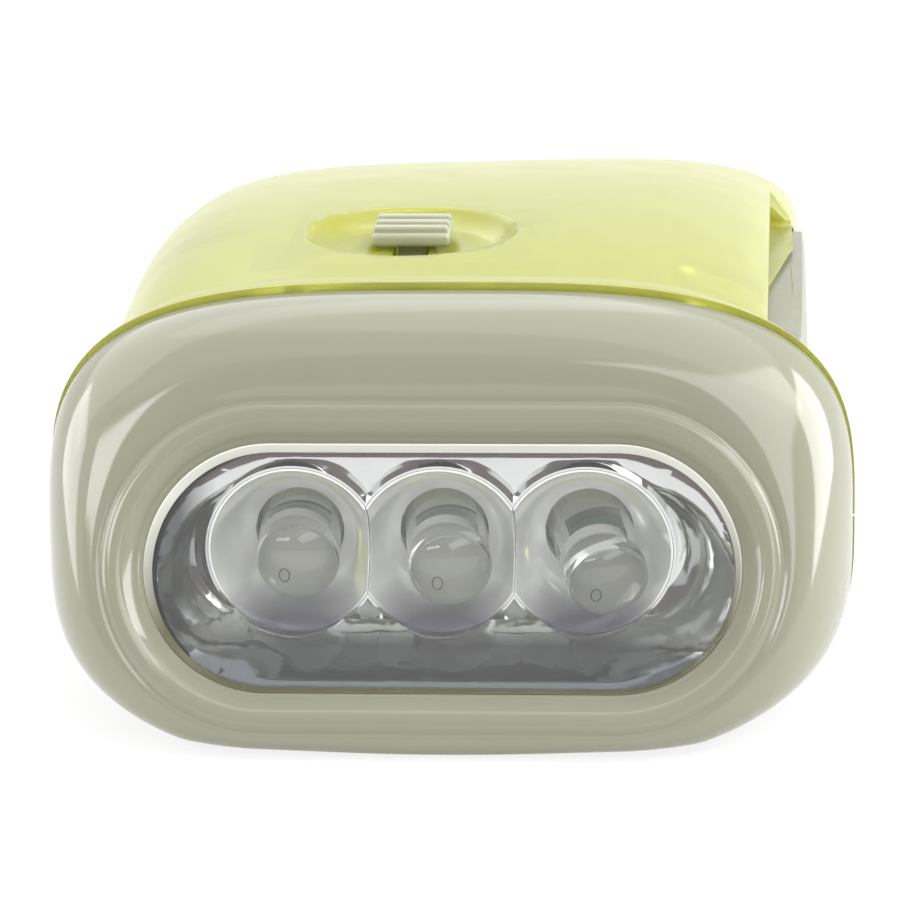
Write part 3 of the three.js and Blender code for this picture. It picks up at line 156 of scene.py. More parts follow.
# Bowl and diodes
BOWL_HEIGHT = 9.8
BOWL_BACK_Y = -33.4
BOWL_WALL = 0.9
BOWL_TAPER = 2.4
BOWL_HALF_HEIGHT = 6
BOWL_FLOOR_HALF_HEIGHT = 3.6
BOWL_RIM = 1
BOWL_FLOOR_SHARE = 0.74
BOWL_BEND_SHARE = 0.33
BOWL_SPREAD_SHARE = 0.42
# Where the painted shade of the bowl starts and is full, towards its bottom and towards its left
BOWL_PAINTED_SHADE_TOP = 5.6
BOWL_PAINTED_SHADE_LOW = 4.4
BOWL_PAINTED_SHADE_RIGHT = -13.8
BOWL_PAINTED_SHADE_LEFT = -16
# Where the painted shade at the foot of each cup starts and is full
CUP_PAINTED_SHADE_TOP = 7.2
CUP_PAINTED_SHADE_LOW = 5.2
KNEE_START = 0.3
KNEE_ROUND = 0.12
BOWL_STEPS = 18
MOUTH_INSET = 0.6
CUP_RADIUS = 5.2
CUP_DEPTH = 4
CUP_RIM = 0.3
CUP_STEPS = 16
CUP_FACETS = 128
LINER_GAP = 0.03
LINER_WALL = 0.12
LED_RADIUS = 2.5
LED_LENGTH = 9.1
LED_DOME = 1.5
LED_DOME_STEPS = 14
LED_FACETS = 64
LED_FLANGE = 2.9
LED_HOLE_GAP = 0.35
LED_BACK_Y = -31.1
LED_FLANGE_THICKNESS = 1
LED_LEAD = 0.5
LED_LEAD_LENGTH = 2.65
ANVIL_REACH = 4.6
ANVIL_SHIFT = 0.3
ANVIL_PROFILE = ((1.2, 0), (1.2, 0.8), (1.1, 0.9), (0.9, 0.6), (0.3, 0.5))
POST_RISE = 0.9
FOOT_RADIUS = 2.35
FOOT_SPAN = (0.8, 0.4)
FACE_DEPTH = 1.05
FACE_PROFILE = ((2.33, 0), (2.38, 0.05), (2.38, 0.14), (2.33, 0.18))
WIRE_RADIUS = 0.035
WIRE_STEPS = 36
WIRE_FACETS = 8
WIRE_X = -0.75
WIRE_Z = -0.6
WIRE_WIDE = 0.28
WIRE_HIGH = 0.4
LED_LEAD_PITCH = 2.54
LED_XS = (-9.25, -0.4, 8.45)
LED_NODS = (8, 11, 18)
LED_TURNS = (3, 7, 14)
LED_SLIPS = (0.6, 0.2, 0)

# Squeeze lever
PIVOT_X = 16.3
PIVOT_Y = -25.5
PIN_RADIUS = 1.5
PIN_GAP = 0.09
PIVOT_BOSS = 3.2
LEVER_REACH = 47.5
LEVER_LOW = 3.6
LEVER_FRONT_TOP = 19
LEVER_REAR_TOP = 14
LEVER_PROUD = 0.5
LEVER_WALL = 1.8
LEVER_FLANGE = 1.5
LEVER_INNER_X = 14.9
LEVER_HUB = 5.4
LEVER_GAP = 0.4
LEVER_CORNER = 2.2
LEVER_CORNER_STEPS = 8
LEVER_EDGE = 0.35
LEVER_EDGE_ANGLE = 50
LEVER_REAR_Y = PIVOT_Y + LEVER_REACH
LEVER_STEP_X = 19.2
LEVER_STEP_Y = SEAM_Y + 2.9
PIN_TOP = 21
HUB_HOLLOW = 4.2
HUB_LOW_TOP = 5.75
HUB_HIGH_LOW = 17.2
CATCH_LENGTH = 2.4
CATCH_LOW = 5.1
CATCH_HIGH = 8.1
CATCH_THICKNESS = 1.1
RIB_SHARES = (0.3, 0.55, 0.8)
RIB = 1.2
RIB_LAP = 0.4
RIB_DEPTH = 0.1

# Switch, screws, strap hole and lock
SWITCH_X = -3.3
SWITCH_Y = -17.9
KNOB_TRAVEL = 2.5
DISH_HALF_WIDTH = 6.7
DISH_HALF_LENGTH = 7.2
DISH_FLOOR = 23.5
DISH_DEPTH = 1.2
DISH_PROFILE = ((0, 0), (0.62, 0), (0.72, 0.02), (0.8, 0.1), (0.88, 0.3), (0.95, 0.62), (1, 1), (1.4, 3.2))
KNOB_WIDTH = 4.9
KNOB_LENGTH = 4.2
KNOB_HEIGHT = 0.9
KNOB_EDGE = 0.3
KNOB_RIBS = 3
KNOB_RIB = 0.7
KNOB_RIB_RISE = 0.4
KNOB_RIB_INSET = 0.1
KNOB_RIB_EDGE = 0.2
STEM = 1.8
STEM_GAP = 0.85
BOARD_TOP = 19.4
CASE_SCREWS = ((-17, -14, 17), (-9.5, 36.5, 11.5), (5.5, 36.5, 11.5))
SCREW_BOSS = 2.7
SCREW_HOLE = 1.1
SCREW_HEAD = 2
SCREW_HEAD_HEIGHT = 1.3
SCREW_SINK = 0.9
SCREW_SHANK = 1
SCREW_PITCH = 0.9
SCREW_INPUTS = ("Shank radius", "Head radius", "Head height", "Length", "Pitch", "Turn")
SCREW_CORE_SHARE = 0.8
SCREW_CROWN_SHARE = 0.7
SCREW_THREAD_SHARE = 0.86
SCREW_RIM_SHARE = 0.5
SCREW_FACETS = 32
SCREW_RECESS_REACH = 0.62
SCREW_RECESS_WIDTH = 0.16
SCREW_RECESS_DEPTH = 0.6
STEP_GEAR_X = -1.929
STEP_GEAR_Y = 3.673
PLATE_SCREW_REACH = 17.5
PLATE_SCREW_ANGLES = (38, 148, 212)
PLATE_HIGH = 10.6
PLATE_SCREW_SHANK = 0.8
PLATE_SCREW_HEAD = 1.6
PLATE_SCREW_HEAD_HEIGHT = 0.9
PLATE_SCREW_LENGTH = 4.7
PLATE_SCREW_PITCH = 0.7
STRAP_X = -1
STRAP_Y = 42.4
STRAP_HOLE = 1.7
STRAP_BOSS = 3.2
LOCK_X = 12.4
LOCK_Y = 28
LOCK_TRAVEL = 3
LOCK_PAD = 6
LOCK_WELL = 1.5
LOCK_FLOOR = 2.8

# Camera, fitted to the outline and the seam of the torch in the photograph
CAMERA_AZIMUTH = math.radians(4.5)
CAMERA_ELEVATION = math.radians(19)
CAMERA_ROLL = math.radians(1.2)
CAMERA_DISTANCE = 270
CAMERA_FOCUS_PIXELS = 4563
IMAGE_PIXELS = 908
TARGET_PIXEL = (441, 568)
SENSOR_WIDTH = 36

# Finishes, with scales and turns for the mapping of the scratches
PALE_SHARE = 1.5
RELIEF = 0.2
SCRATCH_SCALE = (90, 1400, 700)
SCRATCH_TURN = (0.4, 0.7, 0.9)
SCRATCH_START = 0.72
SCRATCH_FULL = 0.76

# Lamps, each with degrees to the right of the torch's light and up, degrees of roll, metres and watts
LAMP_DISTANCE = 620
LAMPS = (
    ("overhead_lamp", 130, 74, 0, (0.9, 0.66), 2.0),
    ("rear_lamp", -132, 46, 0, (1.0, 0.6), 2.5),
    ("right_panel", 50, 47, 12, (0.95, 0.26), 3.1),
    ("right_lamp", 104, 18, 0, (0.4, 0.44), 4.2),
    ("left_streak", -40, 33, 8, (0.36, 0.11), 1.0),
    ("left_lamp", -100, 9, 0, (0.4, 0.4), 2.4),
)

# Room and floor. Most of the floor's whiteness is its own glow, so that its shadow stays faint
ROOM_LEVEL = 0.5
FLOOR_GLOW = 0.85
FLOOR_HALF = 2500
FLOOR_DEPTH = 10

# The dim room in front of the torch, as a part of a ball
CANOPY_RADIUS = 900
CANOPY_WALL = 5
CANOPY_LOW = math.radians(3)
CANOPY_HIGH = math.radians(42)
CANOPY_LEFT = math.radians(-58)
CANOPY_RIGHT = math.radians(80)
CANOPY_STEPS = 16


# Outlines and sections

def rounded_reach(c, s, half_width, half_height, power):
    """Distance to a rounded rectangle along the direction c, s."""
    return ((abs(c) / half_width) ** power + (abs(s) / half_height) ** power) ** (-1 / power)


def obround_reach(c, s, half_length, half_height):
    """Distance to a round-ended slot along the direction c, s."""
    straight = half_length - half_height
    across = half_height / abs(s) if abs(s) > 0 else math.inf
    if across * abs(c) <= straight:
        return across
    return straight * abs(c) + math.sqrt(half_height ** 2 - (straight * s) ** 2)


def directions(count):
    """Unit directions round a section, closer together at its two ends."""
    found = []
    for i in range(count):
        c = CROWDING * math.cos(TURN * i / count)
        s = math.sin(TURN * i / count)
        long = math.hypot(c, s)
        found.append((c / long, s / long))
    return found


def point(x, y, z):
    """A point in metres from millimetres."""
    return Vector((x, y, z)) * MM


def on_face(across, up, out):
    """A point on the raked face, in millimetres from the middle of the window."""
    y = WINDOW_Y + up * math.sin(FACE_RAKE) - out * math.cos(FACE_RAKE)
    z = WINDOW_HEIGHT + up * math.cos(FACE_RAKE) + out * math.sin(FACE_RAKE)
    return Vector((across, y, z))


def face_ring(half_length, half_height, out, count):
    """A round-ended ring square to the raked face."""
    ring = []
    for c, s in directions(count):
        reach = obround_reach(c, s, half_length, half_height)
        ring.append(on_face(c * reach, s * reach, out))
    return ring


def window_ring(grow, out, count):
    """A ring on the raked face that keeps one distance from the edge of the window."""
    return face_ring(WINDOW_HALF_LENGTH + grow, WINDOW_HALF_HEIGHT + grow, out, count)


def standing_ring(half_length, half_height, y, z, count):
    """A round-ended ring square to the length of the torch."""
    ring = []
    for c, s in directions(count):
        reach = obround_reach(c, s, half_length, half_height)
        ring.append(Vector((c * reach, y, z + s * reach)))
    return ring


def between(start, end, share):
    return start + (end - start) * share


def curve(t, start, knee, end):
    """A place on a curve that leaves its start towards a knee and comes from there to its end."""
    return (1 - t) ** 2 * start + 2 * t * (1 - t) * knee + t * t * end


def eased(t):
    """A share that starts and stops gently."""
    u = min(max(t, 0), 1)
    return u * u * (3 - 2 * u)


def knee(t, across_share, along_share):
    """A place on the way from (0, 0) to (1, 1) by way of a knee that is rounded off."""
    if t < KNEE_START:
        u = t / KNEE_START * (1 - KNEE_ROUND)
        return across_share * u, along_share * u
    if t > 1 - KNEE_START:
        u = KNEE_ROUND + (t - 1 + KNEE_START) / KNEE_START * (1 - KNEE_ROUND)
        return between(across_share, 1, u), between(along_share, 1, u)
    u = (t - KNEE_START) / (1 - 2 * KNEE_START)
    return [
        curve(u, share * (1 - KNEE_ROUND), share, between(share, 1, KNEE_ROUND))
        for share in (across_share, along_share)
    ]


def rounding(share, start):
    """How far a section has drawn in on its way to the rounded rear end."""
    t = max(0, (share - start) / (1 - start)) * END_SHARE
    return (1 - t ** ROUND_POWER) ** (1 / ROUND_POWER)


def housing_ring(share, y, inset, low, count):
    """A section of the housing, share of the way from the seam to the rear end."""
    flare = 1 - eased(share / FLARE_SHARE)
    fall = TOP_FALL * max(0, (share - FALL_START_SHARE) / (1 - FALL_START_SHARE)) ** 2
    middle = between(WIDEST_HEIGHT, REAR_WIDEST_HEIGHT, share)
    top_power = between(REST_TOP_POWER, SEAM_TOP_POWER, flare)
    lower_power = between(REST_LOWER_POWER, SEAM_LOWER_POWER, flare)
    drawn = rounding(share, TOP_ROUND_SHARE)
    top = (BODY_HEIGHT + SEAT_GAP * flare - fall - middle - inset) * drawn
    low_half = (middle * FLAT_SHARE - inset) * drawn
    waist = (LEFT_HALF - LEFT_FRONT_HALF) * (1 - eased(share / WAIST_SHARE))
    ring = []
    for c, s in directions(count):
        rest = RIGHT_HALF if c > 0 else LEFT_HALF - waist
        start = RIGHT_ROUND_SHARE if c > 0 else LEFT_ROUND_SHARE
        wide = (between(rest, FLANGE_HALF, flare) - inset) * rounding(share, start)
        if s > 0:
            reach = rounded_reach(c, s, wide, top, top_power)
        else:
            reach = rounded_reach(c, s, wide, low_half, lower_power)
        skew = REAR_SKEW_SHARE * share ** 2 * (c * reach - REAR_SKEW_MIDDLE)
        ring.append(Vector((c * reach, y + skew, max(low, middle + s * reach))))
    return ring


def section_shares(steps):
    """Shares along the housing, closer together at the flare and the rear end."""
    shares = [FLARE_SHARE * i / steps * 2 for i in range(steps // 2)]
    for i in range(2 * steps + 1):
        shares.append(between(FLARE_SHARE, 1, math.sin(math.pi / 2 * i / (2 * steps))))
    return shares


def housing_rings(inset, low, count, steps, lead=0):
    length = REAR_Y - inset - SEAM_Y
    rings = [
        housing_ring(share, SEAM_Y + share * length, inset, low, count)
        for share in section_shares(steps)
    ]
    if lead:
        rings.insert(0, housing_ring(0, SEAM_Y - lead, inset, low, count))
    return rings


def bezel_ring(share, inset, setback, low, count):
    """A ring of the bezel's shoulder, from the crest at 0 to the seam at 1."""
    swing = share * math.pi / 2
    out = math.sin(swing)
    back = 1 - math.cos(swing)
    crest = window_ring(FUNNEL_WIDTH + CREST_WIDTH - inset, CREST_RISE - CREST_FALL, count)
    wide = BEZEL_HALF - inset
    top = BEZEL_HEIGHT - WIDEST_HEIGHT - inset
    low_half = WIDEST_HEIGHT * FLAT_SHARE
    ring = []
    for start, (c, s) in zip(crest, directions(count)):
        if s > 0:
            reach = rounded_reach(c, s, wide, top, SEAM_TOP_POWER)
            rise = out
        else:
            reach = rounded_reach(c, s, wide, low_half, SEAM_LOWER_POWER)
            rise = 1 - (1 - out) ** (1 + (LIP_SHARPNESS - 1) * abs(s) ** LIP_SPREAD)
        z = max(low, WIDEST_HEIGHT + s * reach)
        level = max(low, start.z)
        ring.append(Vector((
            between(start.x, c * reach, out),
            between(start.y, SEAM_Y - PARTING_GAP, back) + setback,
            between(level, z, rise),
        )))
    return ring


# Meshes

def made(name, mesh):
    """A linked object from a bmesh, with its normals outward."""
    bmesh.ops.recalc_face_normals(mesh, faces=mesh.faces)
    data = bpy.data.meshes.new(name)
    mesh.to_mesh(data)
    mesh.free()
    piece = bpy.data.objects.new(name, data)
    bpy.context.scene.collection.objects.link(piece)
    return piece


def skin(name, rings, ring_shaped=False):
    """A skin through rings of points in millimetres, capped or closed on itself."""
    mesh = bmesh.new()
    rows = [[mesh.verts.new(p * MM) for p in ring] for ring in rings]
    count = len(rows[0])
    bands = len(rows) if ring_shaped else len(rows) - 1
    for i in range(bands):
        here = rows[i]
        after = rows[(i + 1) % len(rows)]
        for j in range(count):
            k = (j + 1) % count
            mesh.faces.new((here[j], here[k], after[k], after[j]))
    if not ring_shaped:
        mesh.faces.new(rows[0])
        mesh.faces.new(rows[-1])
    return made(name, mesh)


def sheet(name, near, far):
    """A closed curved sheet between two grids of points in millimetres."""
    mesh = bmesh.new()
    sides = [[[mesh.verts.new(p * MM) for p in row] for row in grid] for grid in (near, far)]
    rows = len(near)
    columns = len(near[0])
    for side in sides:
        for i in range(rows - 1):
            for j in range(columns - 1):
                mesh.faces.new((side[i][j], side[i][j + 1], side[i + 1][j + 1], side[i + 1][j]))
    border = [(0, j) for j in range(columns)]
    border += [(i, columns - 1) for i in range(1, rows)]
    border += [(rows - 1, j) for j in range(columns - 2, -1, -1)]
    border += [(i, 0) for i in range(rows - 2, 0, -1)]
    for here, after in zip(border, border[1:] + border[:1]):
        mesh.faces.new((sides[0][here[0]][here[1]], sides[0][after[0]][after[1]],
                        sides[1][after[0]][after[1]], sides[1][here[0]][here[1]]))
    return made(name, mesh)


def slab(name, low, high):
    """A block between two corners in millimetres, used to cut or join."""
    mesh = bmesh.new()
    bmesh.ops.create_cube(mesh, size=1)
    for vertex in mesh.verts:
        vertex.co = Vector([(low[i] if vertex.co[i] < 0 else high[i]) * MM for i in range(3)])
    return made(name, mesh)


def block(name, x, y, half_x, half_y, low, high):
    """A block round an upright axis, from its low to its high level."""
    return slab(name, (x - half_x, y - half_y, low), (x + half_x, y + half_y, high))


def circle(radius, sides):
    """Pairs of places round a circle, which is never quite a point."""
    r = max(radius, NEEDLE)
    return [(r * math.cos(TURN * i / sides), r * math.sin(TURN * i / sides)) for i in range(sides)]


def turned(name, profile, x, y, sides):
    """A solid turned round an upright axis, from (radius, height) pairs."""
    return skin(name, [
        [Vector((x + a, y + b, z)) for a, b in circle(radius, sides)]
        for radius, z in profile
    ])


def upright(name, radius, low, high, x, y, sides):
    return turned(name, [(radius, low), (radius, high)], x, y, sides)


def lying(name, profile, x, sides):
    """A solid turned round an axis along the torch at the height of the bowl, from (radius, y) pairs."""
    return skin(name, [
        [Vector((x + a, y, BOWL_HEIGHT + b)) for a, b in circle(radius, sides)]
        for radius, y in profile
    ])


def settle(piece):
    """Applies what modifiers a piece has and leaves a plain mesh."""
    graph = bpy.context.evaluated_depsgraph_get()
    data = bpy.data.meshes.new_from_object(piece.evaluated_get(graph))
    data.name = piece.name
    piece.modifiers.clear()
    old = piece.data
    piece.data = data
    if old.users == 0:
        bpy.data.meshes.remove(old)
    return piece


def combine(piece, tools, operation):
    """Joins, cuts or intersects a piece with each tool, then removes the tools."""
    for tool in tools:
        modifier = piece.modifiers.new("combine", "BOOLEAN")
        modifier.operation = operation
        modifier.solver = "MANIFOLD"
        modifier.object = tool
        settle(piece)
        bpy.data.objects.remove(tool)
    return piece


def drop_flaps(piece):
    """Removes pairs of faces that lie back to back on the same corners."""
    mesh = bmesh.new()
    mesh.from_mesh(piece.data)
    groups = {}
    for face in mesh.faces:
        groups.setdefault(frozenset(vertex.index for vertex in face.verts), []).append(face)
    flaps = [face for group in groups.values() if len(group) > 1 for face in group]
    bmesh.ops.delete(mesh, geom=flaps, context="FACES")
    mesh.to_mesh(piece.data)
    mesh.free()


def soften(piece, width, angle=40, segments=2):
    """Rounds the edges sharper than an angle."""
    modifier = piece.modifiers.new("soften", "BEVEL")
    modifier.width = width * MM
    modifier.segments = segments
    modifier.limit_method = "ANGLE"
    modifier.angle_limit = math.radians(angle)
    modifier.use_clamp_overlap = True
    return settle(piece)


def smooth(piece, angle=32):
    """Shades smooth, with edges sharper than the angle kept crisp."""
    piece.data.shade_smooth()
    piece.data.set_sharp_from_angle(angle=math.radians(angle))
    return piece


def dress(piece, material, body, nodes=(), angle=32):
    """Gives a finished piece its shading, material, body and material slot."""
    smooth(piece, angle)
    piece.data.materials.clear()
    piece.data.materials.append(material)
    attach(piece, body)
    if nodes:
        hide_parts(*nodes)
    return piece


# Materials

def add(tree, kind, inputs, **settings):
    """Adds a node and gives its outputs. An input is a value, a socket or a list of sockets."""
    new = tree.nodes.new(kind)
    for setting, value in settings.items():
        setattr(new, setting, value)
    for socket, value in inputs.items():
        sources = [value] if isinstance(value, bpy.types.NodeSocket) else value
        if isinstance(sources, list):
            for source in sources:
                tree.links.new(source, new.inputs[socket])
        else:
            new.inputs[socket].default_value = value
    return new.outputs


def maths(tree, operation, first, second):
    return add(tree, "ShaderNodeMath", {0: first, 1: second}, operation=operation)["Value"]


def ranged(tree, value, limits):
    return add(tree, "ShaderNodeMapRange", {"Value": value, **limits})["Result"]


def finish(name, colour, second, roughness, mottle=900, grain=2600, bump=0.01, spread=0.04, marks=0.0,
           **constants):
    """A finish with colour, gloss and relief varied in the space of its piece."""
    material = bpy.data.materials.new(name)
    material.use_nodes = True
    tree = material.node_tree
    shader = tree.nodes["Principled BSDF"].inputs
    for socket, value in constants.items():
        shader[socket.replace("_", " ")].default_value = value
    place = add(tree, "ShaderNodeTexCoord", {})["Object"]
    clouds = add(tree, "ShaderNodeTexNoise", {"Vector": place, "Scale": mottle, "Detail": 3})["Fac"]
    blend = add(tree, "ShaderNodeMix", {0: clouds, 6: (*colour, 1), 7: (*second, 1)}, data_type="RGBA")
    tree.links.new(blend[2], shader["Base Color"])
    gloss = ranged(tree, clouds, {"To Min": max(0.0, roughness - spread), "To Max": roughness + spread})
    fine = add(tree, "ShaderNodeTexNoise", {"Vector": place, "Scale": grain, "Detail": 2})["Fac"]
    relief = add(tree, "ShaderNodeBump", {"Height": fine, "Strength": bump, "Distance": RELIEF * MM})
    tree.links.new(relief["Normal"], shader["Normal"])
    if marks:
        # Sparse fine scratches that dull the gloss where they lie
        stretch = add(tree, "ShaderNodeMapping", {
            "Vector": place, "Scale": SCRATCH_SCALE, "Rotation": SCRATCH_TURN,
        })["Vector"]
        lines = add(tree, "ShaderNodeTexNoise", {"Vector": stretch, "Scale": 1, "Detail": 1})["Fac"]
        few = ranged(tree, lines, {"From Min": SCRATCH_START, "From Max": SCRATCH_FULL, "To Max": marks})
        gloss = maths(tree, "ADD", gloss, few)
    tree.links.new(gloss, shader["Roughness"])
    return material


def shade(material, axis, clear, full, colour):
    """Turns a finish to another colour from where it is clear along an axis to where it is full."""
    tree = material.node_tree
    base = tree.nodes["Principled BSDF"].inputs["Base Color"]
    place = add(tree, "ShaderNodeTexCoord", {})["Object"]
    along = add(tree, "ShaderNodeSeparateXYZ", {"Vector": place})[axis]
    share = ranged(tree, along, {"From Min": clear * MM, "From Max": full * MM})
    before = base.links[0].from_socket
    blend = add(tree, "ShaderNodeMix", {0: share, 6: before, 7: (*colour, 1)}, data_type="RGBA")
    tree.links.new(blend[2], base)


def moulding(name, colour, contrast, roughness, **settings):
    """A plastic of one colour, with places where it is a little darker."""
    return finish(name, tuple(colour), tuple(c * contrast for c in colour), roughness, **settings)


def grey_plastic(sizes):
    return moulding("grey_moulding", sizes.grey, 0.96, 0.11,
                    mottle=260, grain=1500, bump=0.006, marks=0.12, Specular_IOR_Level=0.5)


def satin_grey(sizes):
    return moulding("grey_satin_moulding", sizes.grey, 0.93, 0.3,
                    mottle=320, grain=3600, bump=0.03, marks=0.1)


def pale_grey(sizes):
    """The grey of the knob and the lock, paler than the bezel."""
    colour = [min(1.0, c * PALE_SHARE) for c in sizes.grey]
    return moulding("grey_pale_moulding", colour, 0.95, 0.32, mottle=500, grain=3600, bump=0.03)


def yellow_plastic(sizes):
    return moulding("yellow_translucent_moulding", sizes.yellow, 0.97, 0.2,
                    mottle=180, grain=1200, bump=0.006, marks=0.03, Transmission_Weight=0.55, IOR=1.5)


def clear_plastic():
    return finish("clear_window", (0.95, 0.96, 0.95), (0.92, 0.94, 0.93), 0.02,
                  mottle=300, grain=900, bump=0.002, spread=0.01, marks=0.05, Alpha=0.05)


def clear_epoxy():
    return finish("clear_epoxy", (0.97, 0.98, 0.97), (0.93, 0.95, 0.93), 0.02,
                  mottle=600, grain=900, bump=0.004, spread=0.01, Transmission_Weight=1.0, IOR=1.5)


def bowl_metal():
    """Bright metal with painted shade, darker towards the low and the left side of the bowl."""
    material = finish("metallised_bowl", (0.74, 0.75, 0.74), (0.66, 0.67, 0.67), 0.07,
                      mottle=420, grain=500, bump=0.2, spread=0.05, marks=0.15, Metallic=1.0)
    # Painted shade: the metal's colour darkens towards the bottom of the bowl and towards its left side
    shade(material, "Z", BOWL_PAINTED_SHADE_TOP, BOWL_PAINTED_SHADE_LOW, (0.095, 0.10, 0.11))
    shade(material, "X", BOWL_PAINTED_SHADE_RIGHT, BOWL_PAINTED_SHADE_LEFT, (0.10, 0.105, 0.11))
    return material


def cup_metal():
    """Bright metal with painted shade at the foot of each cup."""
    material = finish("metallised_cup", (0.95, 0.96, 0.93), (0.80, 0.81, 0.79), 0.08,
                      mottle=520, grain=360, bump=0.3, spread=0.04, Metallic=0.35)
    # Painted shade: the metal's colour darkens towards the foot of each cup
    shade(material, "Z", CUP_PAINTED_SHADE_TOP, CUP_PAINTED_SHADE_LOW, (0.11, 0.10, 0.15))
    return material


def painted_lip_reflection():
    """A band coloured with painted reflection: painted light in cream at the top of the window and painted
    shade in brown below.
    """
    material = finish("lip_band", (0.80, 0.81, 0.73), (0.77, 0.78, 0.70), 0.25, mottle=500, grain=2400)
    reach = WINDOW_HALF_HEIGHT / 2
    # Painted shade: the band turns from cream to brown towards the bottom of the window
    shade(material, "Z", WINDOW_HEIGHT + reach, WINDOW_HEIGHT - reach, (0.13, 0.125, 0.07))
    return material


def bright_metal(name, colour=(0.60, 0.60, 0.61), roughness=0.3):
    return moulding(name, colour, 0.85, roughness,
                    mottle=1200, grain=5000, bump=0.03, spread=0.08, Metallic=1.0)


# Operators

class TORCH_sizes(bpy.types.PropertyGroup):
    """Sizes and colours of the torch that a user would change."""

    around: IntProperty(name="Facets round", description="Facets round a section of the mouldings",
                        default=208, min=24)
    along: IntProperty(name="Sections", description="Sections along the housing", default=60, min=6)
    yellow: FloatVectorProperty(name="Yellow", description="Colour of the translucent housing",
                                subtype="COLOR", size=3, default=(0.59, 0.60, 0.095), min=0.0, max=1.0)
    grey: FloatVectorProperty(name="Grey", description="Colour of the bezel, lever and knob",
                              subtype="COLOR", size=3, default=(0.238, 0.243, 0.18), min=0.0, max=1.0)


class TORCH_OT_bezel(bpy.types.Operator):
    """Makes the grey bezel, one ring from the window lip to the tongue in the housing."""

    bl_idname = "torch.bezel"
    bl_label = "Bezel"

    def execute(self, context):
        sizes = context.scene.torch_sizes
        count = sizes.around
        seat_low = FLOOR_THICKNESS + SEAT_GAP
        inside = SHELL_WALL + SEAT_GAP
        tongue_y = SEAM_Y + TONGUE_SHARE * (REAR_Y - SEAM_Y)
        pocket = LENS_RIM + SEAT_GAP
        rings = [
            window_ring(-LIP_DRAFT * (1 - share), WINDOW_LIP * (share - 1), count)
            for share in LIP_SHARES
        ]
        for i in range(FUNNEL_STEPS + 1):
            t = i / FUNNEL_STEPS
            grow = between(FUNNEL_START, FUNNEL_WIDTH, t)
            rings.append(window_ring(grow, CREST_RISE * t ** FUNNEL_POWER, count))
        for i in range(1, CREST_STEPS + 1):
            t = i / CREST_STEPS
            groove = GROOVE_DEPTH * math.exp(-((t - GROOVE_SHARE) / GROOVE_SPREAD) ** 2)
            crown = CREST_RISE + CREST_CROWN * math.sin(math.pi * t) - CREST_FALL * t - groove
            rings.append(window_ring(FUNNEL_WIDTH + CREST_WIDTH * t * CREST_CLOSE, crown, count))
        for i in range(1, SHOULDER_STEPS + 1):
            rings.append(bezel_ring(i / SHOULDER_STEPS, 0, 0, 0, count))
        rings += [
            housing_ring(0, SEAM_Y - PARTING_GAP, inside, seat_low, count),
            housing_ring(TONGUE_SHARE, tongue_y, inside, seat_low, count),
            housing_ring(TONGUE_SHARE, tongue_y, inside + BEZEL_WALL, seat_low + BEZEL_FLOOR, count),
            housing_ring(0, SEAM_Y - PARTING_GAP, inside + BEZEL_WALL, seat_low + BEZEL_FLOOR, count),
            bezel_ring(INSIDE_SHARE, BEZEL_WALL, BEZEL_WALL, BEZEL_FLOOR, count),
            window_ring(pocket, -POCKET_DEPTH, count),
            window_ring(pocket, -WINDOW_LIP, count),
        ]
        piece = skin("bezel_ring", rings, ring_shaped=True)
        dress(piece, grey_plastic(sizes), "housing", ["bezel"], angle=50)
        self.trim(count)
        return {"FINISHED"}

    def trim(self, count):
        """The thin band that lines the lip of the window, with painted light at its top and painted shade
        below.
        """
        near = TRIM_GAP
        far = TRIM_GAP + TRIM_WALL
        rings = []
        for margin, share in ((near, TRIM_TOP_SHARE), (near, 0), (far, 0), (far, TRIM_TOP_SHARE)):
            rings.append(window_ring(-LIP_DRAFT * (1 - share) - margin, WINDOW_LIP * (share - 1), count))
        dress(skin("lip_band", rings, ring_shaped=True), painted_lip_reflection(), "housing", angle=50)


def lever_top(y):
    """Height of the top of the lever, level over its hub and falling behind it."""
    slope = (LEVER_REAR_TOP - LEVER_FRONT_TOP) / (LEVER_REAR_Y - PIVOT_Y)
    return LEVER_FRONT_TOP + slope * max(0, y - PIVOT_Y)


def bend(start, knee, end, steps=LEVER_CORNER_STEPS):
    """A rounded corner after its start, as (y, z) pairs."""
    return [
        tuple(curve(i / steps, *places) for places in zip(start, knee, end))
        for i in range(1, steps + 1)
    ]


def lever_outline(margin):
    """Side outline of the lever, grown by a margin, as (y, z) pairs."""
    front = PIVOT_Y - LEVER_HUB - margin
    rear = LEVER_REAR_Y + margin
    corner = LEVER_CORNER + margin
    low = LEVER_LOW - margin
    high = lever_top(PIVOT_Y) + margin
    rear_high = lever_top(rear) + margin
    outline = [(front, low), (rear - corner, low)]
    outline += bend(outline[-1], (rear, low), (rear, low + corner))
    outline.append((rear, rear_high - corner))
    outline += bend(outline[-1], (rear, rear_high), (rear - corner, lever_top(rear - corner) + margin))
    outline += [(PIVOT_Y, high), (front, high)]
    return outline


def across(name, outline, low_x, high_x):
    """A prism across the torch from a side outline of (y, z) pairs."""
    return skin(name, [[Vector((x, y, z)) for y, z in outline] for x in (low_x, high_x)])


def behind_pivot(name):
    return slab(name, (-FAR, PIVOT_Y, -OVERRUN), (FAR, FAR, FAR))


def lever_slot():
    """The spaces of the lever's bar, hub and catch in the side of the housing."""
    inner = LEVER_INNER_X - LEVER_GAP
    slot = across("slot", lever_outline(LEVER_GAP), inner, FAR)
    return [
        combine(slot, [behind_pivot("behind")], "INTERSECT"),
        upright("hub_space", LEVER_HUB + LEVER_GAP, LEVER_LOW - LEVER_GAP, LEVER_FRONT_TOP + LEVER_GAP,
                PIVOT_X, PIVOT_Y, HUB_FACETS),
        slab("catch_space", (inner, LEVER_REAR_Y - OVERRUN, CATCH_LOW - LEVER_GAP),
             (FAR, LEVER_REAR_Y + CATCH_LENGTH + 2 * LEVER_GAP, CATCH_HIGH + LEVER_GAP)),
    ]


